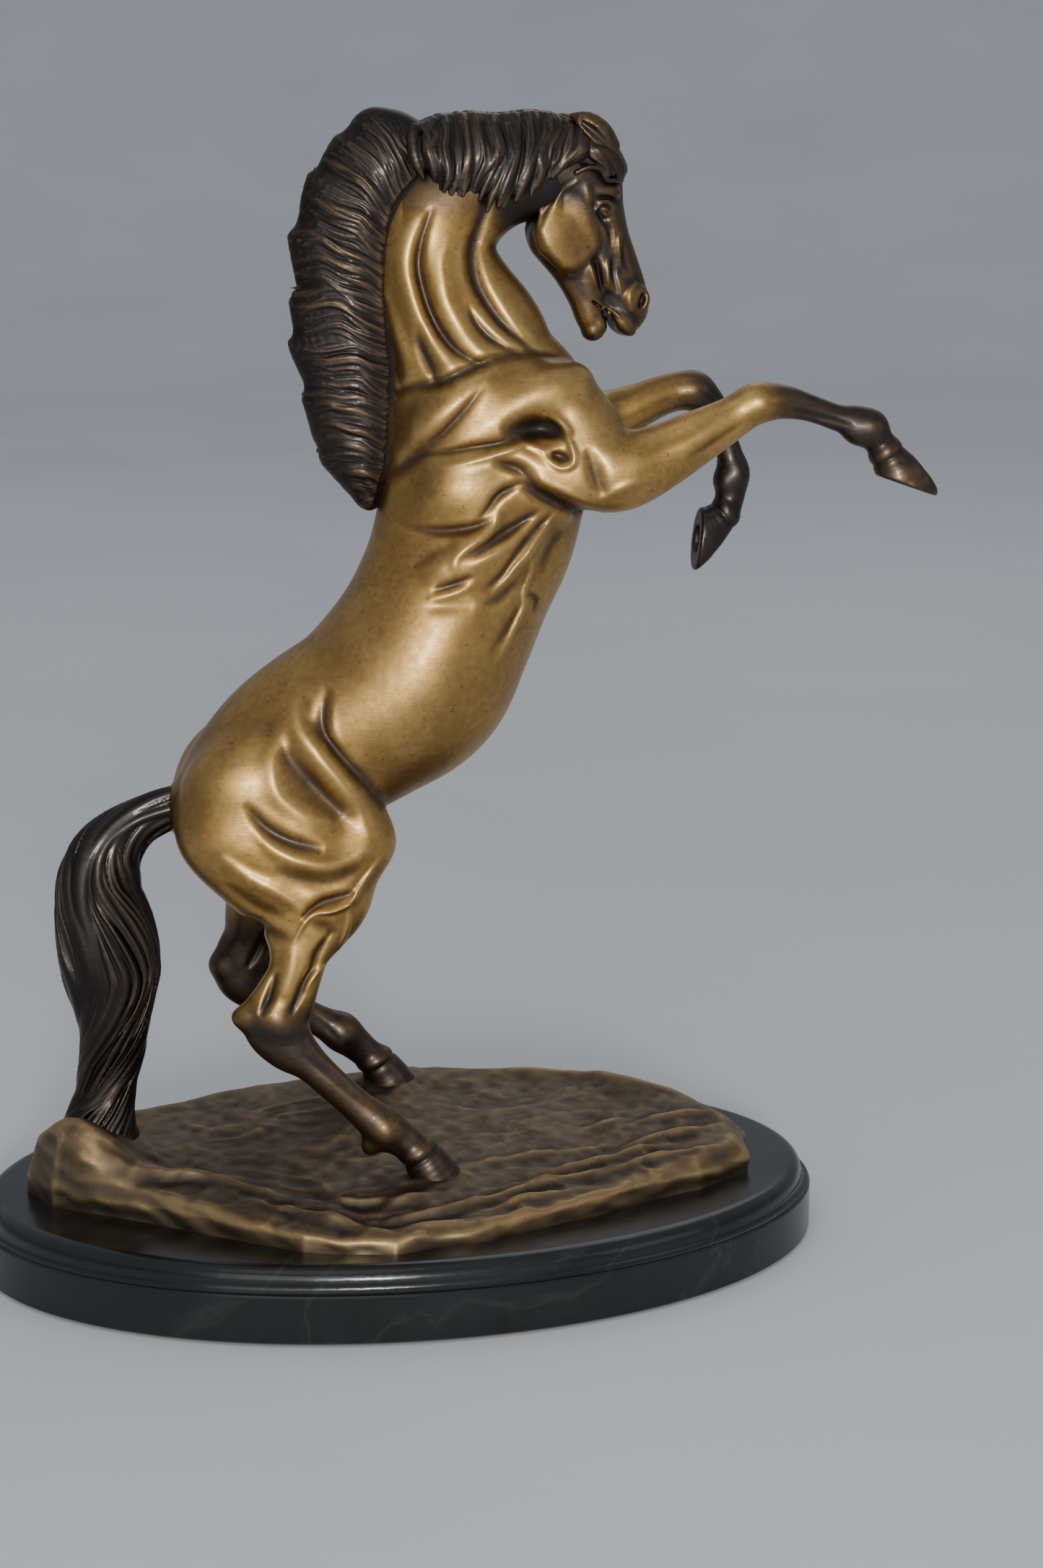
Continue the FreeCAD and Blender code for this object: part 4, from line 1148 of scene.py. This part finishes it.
def ground(clay):
    """The rocky ground: a steep rim round the outline, joined softly to the rough top."""
    x, y, z = clay.axes[0][:, None], clay.axes[1][None, :], clay.axes[2][None, None, :]
    edge = outline_distance(x, y, GROUND_OUTLINE) + 0.9 * noise_map(x, y, 15, 21) + 1.0
    top = ground_height(x, y)
    slope = (np.clip(0.5 + 0.3 * (y / 60), 0.25, 1.0) * (1 - 0.75 * fade(x, -88, -112)))[..., None]
    wall = (edge[..., None] + np.maximum(z - 31.5, 0) * slope * 2.2) / np.sqrt(1 + 2 * slope**2)
    wall = wall + 0.3 * noise_map(x, y, 9, 25)[..., None] * np.sin((z - 25) * 0.9)
    wall = wall + 0.4 * noise_map(x[..., None] + 1.4 * z, y[..., None] - 1.1 * z, 8, 27)
    roof = (z - top[..., None]) * 0.9
    overlap = np.maximum(1.6 - np.abs(wall - roof), 0)
    form = np.maximum(wall, roof) + overlap**2 / 6.4
    clay.field = np.clip(form, -FAR, FAR).astype(np.float32)


class Recipe:
    """A material made of nodes on a principled shader."""

    def __init__(self, name, **constants):
        self.material = bpy.data.materials.new(name)
        self.material.use_nodes = True
        self.nodes = self.material.node_tree.nodes
        self.links = self.material.node_tree.links
        self.shader = self.nodes["Principled BSDF"]
        for socket, value in constants.items():
            self.shader.inputs[socket.replace("_", " ")].default_value = value
        self.place = self.nodes.new("ShaderNodeTexCoord").outputs["Object"]

    def feed(self, socket, value):
        if isinstance(value, (int, float, tuple)):
            socket.default_value = value
        else:
            self.links.new(value, socket)

    def math(self, operation, one, other=0.0, clamp=False):
        node = self.nodes.new("ShaderNodeMath")
        node.operation, node.use_clamp = operation, clamp
        self.feed(node.inputs[0], one)
        self.feed(node.inputs[1], other)
        return node.outputs[0]

    def total(self, *values):
        """The sum of all the values."""
        result = values[0]
        for value in values[1:]:
            result = self.math("ADD", result, value)
        return result

    def around(self, value, gain):
        """A value's distance from a half, times a gain."""
        return self.math("MULTIPLY", self.math("SUBTRACT", value, 0.5), gain)

    def noise(self, scale, detail=3.0, stretch=(1, 1, 1), distortion=0.0):
        mapping = self.nodes.new("ShaderNodeMapping")
        mapping.inputs["Scale"].default_value = stretch
        self.links.new(self.place, mapping.inputs["Vector"])
        node = self.nodes.new("ShaderNodeTexNoise")
        node.inputs["Scale"].default_value = scale
        node.inputs["Detail"].default_value = detail
        node.inputs["Distortion"].default_value = distortion
        self.links.new(mapping.outputs["Vector"], node.inputs["Vector"])
        return node.outputs["Fac"]

    def attribute(self, name):
        node = self.nodes.new("ShaderNodeAttribute")
        node.attribute_name = name
        return node.outputs["Fac"]

    def ramp(self, value, *stops):
        """Colours or greys along a value: stops of (position, colour)."""
        node = self.nodes.new("ShaderNodeValToRGB")
        while len(node.color_ramp.elements) < len(stops):
            node.color_ramp.elements.new(0.5)
        for element, (position, colour) in zip(node.color_ramp.elements, stops):
            element.position = position
            element.color = (*colour, 1) if isinstance(colour, tuple) else (colour, colour, colour, 1)
        self.feed(node.inputs["Fac"], value)
        return node.outputs["Color"]

    def mix(self, factor, one, other, blend="MIX"):
        node = self.nodes.new("ShaderNodeMix")
        node.data_type, node.blend_type = "RGBA", blend
        self.feed(node.inputs["Factor"], factor)
        self.feed(node.inputs["A"], (*one, 1) if isinstance(one, tuple) else one)
        self.feed(node.inputs["B"], (*other, 1) if isinstance(other, tuple) else other)
        return node.outputs["Result"]

    def bump(self, *layers, strength=0.3):
        """Layers of (value, distance in metres)."""
        normal = None
        for value, distance in layers:
            node = self.nodes.new("ShaderNodeBump")
            node.inputs["Strength"].default_value = strength
            node.inputs["Distance"].default_value = distance
            self.links.new(value, node.inputs["Height"])
            if normal:
                self.links.new(normal, node.inputs["Normal"])
            normal = node.outputs["Normal"]
        self.links.new(normal, self.shader.inputs["Normal"])

    def finish(self, colour, roughness):
        self.feed(self.shader.inputs["Base Color"], colour)
        self.feed(self.shader.inputs["Roughness"], roughness)
        return self.material


# Colours of the metal at steps from rubbed bright to the full patina.
STEPS = (0.0, 0.22, 0.5, 0.78, 1.0)
GOLD = (
    (0.54, 0.343, 0.12), (0.345, 0.203, 0.064), (0.165, 0.1, 0.042), (0.066, 0.05, 0.041),
    (0.036, 0.031, 0.029),
)
BROWN = (
    (0.42, 0.28, 0.13), (0.24, 0.155, 0.075), (0.105, 0.071, 0.043), (0.048, 0.037, 0.031),
    (0.027, 0.023, 0.021),
)
EARTH = (
    (0.37, 0.255, 0.125), (0.235, 0.166, 0.09), (0.168, 0.122, 0.076), (0.105, 0.08, 0.056),
    (0.05, 0.041, 0.034),
)


def bronze(name, tones, start, cavity_gain, ridge_gain, rough, coat):
    """Patinated bronze: bright where rubbed, brown to black in hollows and where the patina was left on, and
    also where the patina attribute holds painted shade or a painted highlight.

    start is how dark an even surface is, from 0 to 1. The gains are how much hollows darken and ridges shine.
    """
    recipe = Recipe(name, Metallic=1.0, Coat_Weight=coat, Coat_Roughness=0.15)
    cavity = recipe.attribute("cavity")
    hollow = recipe.math("MULTIPLY", recipe.math("MAXIMUM", cavity, 0.0), cavity_gain)
    ridge = recipe.math("MULTIPLY", recipe.math("MINIMUM", cavity, 0.0), ridge_gain)
    cloud = recipe.noise(38, 5, distortion=0.6)
    speck = recipe.noise(420, 4)
    pits = recipe.ramp(recipe.noise(760, 2), (0.66, 0.0), (0.74, 1.0))
    brushed = recipe.noise(160, 3, (1, 1, 9))
    # the patina attribute holds patina and, on the body and hair, painted shade and a painted highlight
    dark = recipe.total(recipe.attribute("patina"), start, hollow, ridge, recipe.around(cloud, 0.5))
    dark = recipe.math("ADD", dark, recipe.around(speck, 0.3), clamp=True)
    dark = recipe.math("ADD", dark, recipe.math("MULTIPLY", pits, 0.25), clamp=True)
    colour = recipe.ramp(dark, *zip(STEPS, tones))
    tint = recipe.ramp(recipe.noise(14, 3), (0.3, (0.93, 0.97, 1.0)), (0.7, (1.0, 0.96, 0.88)))
    colour = recipe.mix(1.0, colour, tint, "MULTIPLY")
    specks, hollows = recipe.math("MULTIPLY", speck, 0.06), recipe.math("MULTIPLY", hollow, 0.3)
    roughness = recipe.total(recipe.around(brushed, 0.16), rough, specks, hollows)
    dents, grain = recipe.noise(90, 3), recipe.noise(1400, 3)
    recipe.bump((dents, 0.0006), (brushed, 0.00008), (grain, 0.00005), strength=0.35)
    return recipe.finish(colour, roughness)


def marble():
    """Polished black marble with thin grey green veins and clouds."""
    recipe = Recipe("black_marble", Coat_Weight=0.15, Coat_Roughness=0.04, IOR=1.45)
    warp = recipe.noise(9, 6, distortion=1.4)
    vein = recipe.math("ABSOLUTE", recipe.math("SUBTRACT", warp, 0.5))
    vein = recipe.ramp(vein, (0.0, 1.0), (0.006, 0.35), (0.02, 0.0))
    fine = recipe.noise(26, 6, (1, 1, 0.6), 2.0)
    fine = recipe.math("ABSOLUTE", recipe.math("SUBTRACT", fine, 0.47))
    fine = recipe.ramp(fine, (0.0, 0.8), (0.004, 0.2), (0.012, 0.0))
    here = recipe.ramp(recipe.noise(12, 2), (0.5, 0.0), (0.66, 1.0))
    fine = recipe.mix(1.0, fine, here, "MULTIPLY")
    cloud = recipe.ramp(recipe.noise(34, 5), (0.35, (0.003, 0.0035, 0.0035)), (0.75, (0.008, 0.011, 0.0105)))
    colour = recipe.mix(vein, cloud, (0.014, 0.018, 0.016))
    colour = recipe.mix(fine, colour, (0.022, 0.027, 0.025))
    roughness = recipe.ramp(recipe.noise(60, 4), (0.3, 0.2), (0.8, 0.3))
    recipe.bump((recipe.noise(500, 3), 0.00004), strength=0.2)
    return recipe.finish(colour, roughness)


def zinc():
    """Zinc plate with a cloudy grain."""
    recipe = Recipe("zinc", Metallic=1.0)
    cloud = recipe.noise(120, 4)
    recipe.bump((recipe.noise(900, 3), 0.00006), strength=0.3)
    colour = recipe.ramp(cloud, (0.3, (0.42, 0.42, 0.40)), (0.7, (0.60, 0.59, 0.55)))
    return recipe.finish(colour, recipe.ramp(cloud, (0.2, 0.28), (0.8, 0.5)))


def felt():
    """Dark green felt."""
    recipe = Recipe("felt", Sheen_Weight=0.5)
    fibre = recipe.noise(900, 5, (1, 1, 4))
    recipe.bump((fibre, 0.0004), (recipe.noise(160, 3), 0.0003), strength=0.6)
    colour = recipe.ramp(fibre, (0.3, (0.006, 0.025, 0.014)), (0.7, (0.02, 0.06, 0.035)))
    return recipe.finish(colour, recipe.ramp(fibre, (0.2, 0.85), (0.8, 1.0)))


def body_patina_and_shade(points):
    """How dark the metal is: dark feet, darker low between the legs, a painted shadow along the mane and
    painted shade in a pit at the shoulder.
    """
    x, y, z = points.T
    near_hind = 0.6 * fade(z, 106, 88) * (y < MID)
    far_hind = 0.66 * fade(z, 128, 104) * (y >= MID)
    near_fore = 0.72 * fade(x, 112, 134) * (y < MID)
    far_fore = (0.3 * fade(x, 78, 100) + 0.5 * fade(x, 98, 112)) * (y >= MID) * (z > 200)
    root = outline_distance(x, z, MANE_ROOT + [(-9, 200), (60, 200), (60, 371)])
    mane = 0.4 * fade(np.abs(root), 6, 0.5) * fade(x, 14, 6) * fade(z, 250, 268)
    throat = 0.42 * fade(z, 349, 361) * (x > 2) + 0.5 * fade(x, 29, 37) * fade(z, 345, 353)
    inside = 0.3 * fade(np.abs(y - MID), 16, 8) * fade(z, 170, 140) * fade(z, 90, 110)
    # painted shade: darker in the pit at the shoulder, where shade falls
    shoulder_pit_shade = 0.2 * fade(np.hypot((x - 46) * 0.5, z - 287.5), 5.5, 2.0)
    neck = -0.12 * fade(z, 306, 322) * fade(z, 354, 340)
    return near_hind + far_hind + near_fore + far_fore + mane + throat + inside + shoulder_pit_shade + neck


def head_patina(points):
    """The head is dark but for its rubbed jowl."""
    x, _, z = points.T
    jowl = fade(outline_distance(x, z, JOWL), 0.5, -4) * fade(z, 362, 355)
    return 0.5 - 0.17 * jowl + 0.12 * fade(z, 358, 364)


def hair_patina_and_highlight(points):
    """The tail was left darkest and the hair is darker towards the top; the blown mane's middle is lighter, a
    painted highlight.
    """
    x, _, z = points.T
    # painted highlight: the blown mane is lighter round its middle, as if light fell there
    rubbed = fade(np.hypot((x + 9) / 13, (z - 312) / 34), 1.2, 0.3)
    return 0.2 * (x < -60) + 0.1 * fade(z, 345, 372) - 0.22 * rubbed


def ground_patina(points):
    """The ground is rubbed bright round its low rim."""
    x, y, z = points.T
    rim = fade(outline_distance(x, y, GROUND_OUTLINE), -14, -4) * fade(y, 30, -10)
    return 0.1 - 0.1 * rim * fade(z, 27, 33)


# Seams between castings. A line is two points (x, z) in the side view.
LOIN = ((-22, 225), (20, 172))  # from the back to the belly
FOLD = ((-34, 198), (-7, 159))  # from the hip down to the flank
HIP_SLOPE = 45 / 35  # how fast the thigh's upper seam rises towards the outside
HIP_Z = 150.0  # the height where the thighs' upper seams meet
ARM_X, ARM_Z, ARM_LEAN = 74.0, 278.0, 0.35  # a point on the arms' seam, and how far the seam leans
NECK_Z = 306.0


def side_of(line, points):
    """Positive in front of a line that runs down the side view."""
    (x0, z0), (x1, z1) = line
    return (points[:, 2] - z0) * (x1 - x0) - (points[:, 0] - x0) * (z1 - z0)


def above_hip(points):
    out = np.abs(points[:, 1] - MID)
    return points[:, 2] - (HIP_Z + out * HIP_SLOPE)


def is_thigh(points):
    return (side_of(FOLD, points) < 0) & (above_hip(points) < 0)


def is_arm(points):
    return (points[:, 0] - ARM_X) + ARM_LEAN * (points[:, 2] - ARM_Z) > 0


def plane_of(line):
    """The plane across the horse through a line, as a point and a normal."""
    (x0, z0), (x1, z1) = line
    return (x0, 0, z0), (-(z1 - z0), 0, x1 - x0)


MID_CUT = ((0, MID, 0), (0, 1, 0))
ARM_CUT = ((ARM_X, 0, ARM_Z), (1, 0, ARM_LEAN))
NECK_CUT = ((0, 0, NECK_Z), (0, 0, 1))
HIP_CUTS = [((0, MID, HIP_Z), (0, -side * HIP_SLOPE, 1)) for side in (-1, 1)]

# Each leg: its side, name, its clay's low and high corners, the part of the horse it is, and its cuts.
LEGS = [
    (-1, "right_hind_leg", (-88, -50, 28), (28, 4, 214), is_thigh, [plane_of(FOLD), HIP_CUTS[0], MID_CUT]),
    (1, "left_hind_leg", (-88, -14, 36), (28, 44, 214), is_thigh, [plane_of(FOLD), HIP_CUTS[1], MID_CUT]),
    (-1, "right_foreleg", (60, -40, 245), (186, -6, 312), is_arm, [ARM_CUT]),
    (1, "left_foreleg", (60, -4, 228), (134, 32, 312), is_arm, [ARM_CUT]),
]
# Each piece of hair: its name, sculptor, its clay's corners and step, and how it turns.
HAIR = [
    ("blown_mane", blown_mane, (-42, -24, 248), (24, 14, 398), 0.94, None),
    ("crest_mane", crest_mane, (-2, -26, 348), (68, 16, 396), 0.9, None),
    ("forelock", forelock, (46, -24, 356), (88, 14, 396), 0.9, turn_head),
    ("tail", tail, (-128, -26, 36), (-62, 16, 174), 1.02, None),
]


def body_piece(name, node, clay, metal, cuts, keep):
    """One casting of the horse's body, as the part of the clay where keep is true."""
    clay_piece(f"horse_{name}", clay, [node], metal, body_patina_and_shade, cuts, keep)


def is_neck(points):
    return points[:, 2] > NECK_Z


def is_front(points):
    return (points[:, 2] < NECK_Z) & (side_of(LOIN, points) > 0) & ~is_arm(points)


def is_rump(points):
    return (side_of(LOIN, points) < 0) & ~is_thigh(points)


def make_trunk(metal, step):
    trunk = Clay((-90, -48, 118), (92, 38, 390), step)
    horse_masses(trunk)
    horse_lines(trunk)
    body_piece("neck", "neck_casting", trunk, metal, [NECK_CUT], is_neck)
    body_piece("forequarters", "forequarters", trunk, metal, [NECK_CUT, plane_of(LOIN), ARM_CUT], is_front)
    rump_cuts = [plane_of(LOIN), plane_of(FOLD), *HIP_CUTS]
    body_piece("hindquarters", "hindquarters", trunk, metal, rump_cuts, is_rump)


def make_legs(metal, step):
    for side, name, low, high, is_part, cuts in LEGS:
        leg = Clay(low, high, step)
        horse_masses(leg)
        leg_details(leg)
        horse_lines(leg)

        def keep(points, side=side, is_part=is_part):
            return is_part(points) & (side * (points[:, 1] - MID) > 0)

        body_piece(name, name, leg, metal, cuts, keep)


def make_head(metal, step):
    head = Clay((34, -22, 306), (94, 12, 394), step)
    head_masses(head)
    clay_piece("horse_head", head, ["head_casting"], metal, head_patina, turn=turn_head)


def make_hair(metal, step):
    for name, sculpt, low, high, share, turn in HAIR:
        clay = Clay(low, high, step * share)
        sculpt(clay)
        piece, slot, reach = f"horse_{name}", "bronze_dark", (0.9, 2.0)
        clay_piece(piece, clay, [name], metal, hair_patina_and_highlight, turn=turn, reach=reach)


def is_ground(points):
    return points[:, 2] > GROUND_FOOT


def make_ground(step):
    clay = Clay((-138, -88, 23), (133, 76, 62), step)
    ground(clay)
    metal = bronze("bronze_ground", EARTH, 0.56, 0.38, 0.58, 0.46, 0.05)
    foot = [((0, 0, GROUND_FOOT), (0, 0, 1))]
    clay_piece("ground", clay, ["ground_casting"], metal, ground_patina, foot, is_ground)


def dress(material, *nodes):
    """Gives CAD nodes a new material in each of their slots."""
    for node in nodes:
        for slot in bpy.data.objects[node].material_slots:
            slot.material = material


def dress_base():
    dress(marble(), "marble_plinth")
    dress(felt(), "felt_pad")
    dress(zinc(), "threaded_studs", "stud_washers", "stud_nuts")


def plain(name, colour, dark, rough):
    """A matt paint with a faint cloudiness."""
    recipe = Recipe(name, Specular_IOR_Level=0.08)
    cloud = recipe.noise(3, 4)
    recipe.bump((recipe.noise(60, 3), 0.0004), strength=0.2)
    colours = recipe.ramp(cloud, (0.3, dark), (0.7, colour))
    return recipe.finish(colours, recipe.ramp(cloud, (0.3, rough), (0.7, rough + 0.12)))


FLOOR_REACH = 9.0  # metres from the middle to the rim
FLOOR_FLAT = 4.0  # metres from the middle to where the floor starts to rise
FLOOR_RISE = 0.16


def make_stage():
    """A wide pale floor that curves up far away."""
    rings, spokes = 40, 72
    points, faces = [(0, 0, 0)], []
    for ring in range(1, rings + 1):
        reach = FLOOR_REACH * ring / rings
        height = FLOOR_RISE * max(reach - FLOOR_FLAT, 0) ** 2
        for spoke in range(spokes):
            turn = 2 * math.pi * spoke / spokes
            points.append((reach * math.cos(turn), reach * math.sin(turn), height))
    for spoke in range(spokes):
        other = (spoke + 1) % spokes
        faces.append((0, 1 + spoke, 1 + other))
        for ring in range(rings - 1):
            near, far = 1 + ring * spokes, 1 + (ring + 1) * spokes
            faces.append((near + spoke, far + spoke, far + other, near + other))
    mesh = bpy.data.meshes.new("floor")
    mesh.from_pydata(points, [], faces)
    mesh.shade_smooth()
    mesh.materials.append(plain("pale_paint", (0.70, 0.71, 0.715), (0.66, 0.67, 0.675), 0.8))
    floor = bpy.data.objects.new("floor", mesh)
    bpy.context.scene.collection.objects.link(floor)


CAMERA_AT = (-0.1146, -0.8893, 0.3647)
CAMERA_FORWARD = (0.17097, 0.96079, -0.21831)
CAMERA_LENS, CAMERA_SENSOR = 61.3, 36.0  # mm, the sensor's height


def make_camera():
    data = bpy.data.cameras.new("camera")
    data.sensor_fit = "VERTICAL"
    data.sensor_height = CAMERA_SENSOR
    data.lens = CAMERA_LENS
    camera = bpy.data.objects.new("camera", data)
    camera.location = CAMERA_AT
    camera.rotation_euler = Vector(CAMERA_FORWARD).to_track_quat("-Z", "Y").to_euler()
    bpy.context.scene.collection.objects.link(camera)
    bpy.context.scene.camera = camera


# Lamps: name, place in metres, size and watts. All of them face LIGHT_AIM.
LIGHTS = [
    ("key", (-0.13, -1.7, 0.46), 0.18, 17),
    ("front", (-0.6, -1.8, 0.8), 1.2, 7.0),
    ("top", (-0.3, -0.7, 1.7), 0.9, 1.8),
    ("side", (1.2, -0.9, 0.6), 0.7, 1.1),
    ("back", (0.7, 1.4, 1.7), 1.2, 3.5),
]
LIGHT_AIM = (0, 0, 0.2)
SKY_COLOUR, SKY_STRENGTH = (0.86, 0.9, 1.0, 1), 0.48


def make_lights():
    world = bpy.data.worlds.new("world")
    world.use_nodes = True
    sky = world.node_tree.nodes["Background"].inputs
    sky["Color"].default_value = SKY_COLOUR
    sky["Strength"].default_value = SKY_STRENGTH
    bpy.context.scene.world = world
    for name, place, size, power in LIGHTS:
        data = bpy.data.lights.new(name, "AREA")
        data.size = size
        data.energy = power
        light = bpy.data.objects.new(name, data)
        light.location = place
        light.rotation_euler = (Vector(LIGHT_AIM) - Vector(place)).to_track_quat("-Z", "Y").to_euler()
        bpy.context.scene.collection.objects.link(light)


def main():
    fine, coarse = ((0.45, 0.65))  # the clay's steps in mm
    gold = bronze("bronze_gold", GOLD, 0.22, 0.45, 0.2, 0.385, 0.14)
    hair = bronze("bronze_hair", BROWN, 0.97, 0.3, 0.42, 0.42, 0.18)
    make_trunk(gold, coarse)
    make_legs(gold, fine)
    make_head(gold, fine * 0.75)
    make_hair(hair, fine)
    make_ground(coarse * 1.1)
    dress_base()
    make_stage()
    make_camera()
    make_lights()


main()
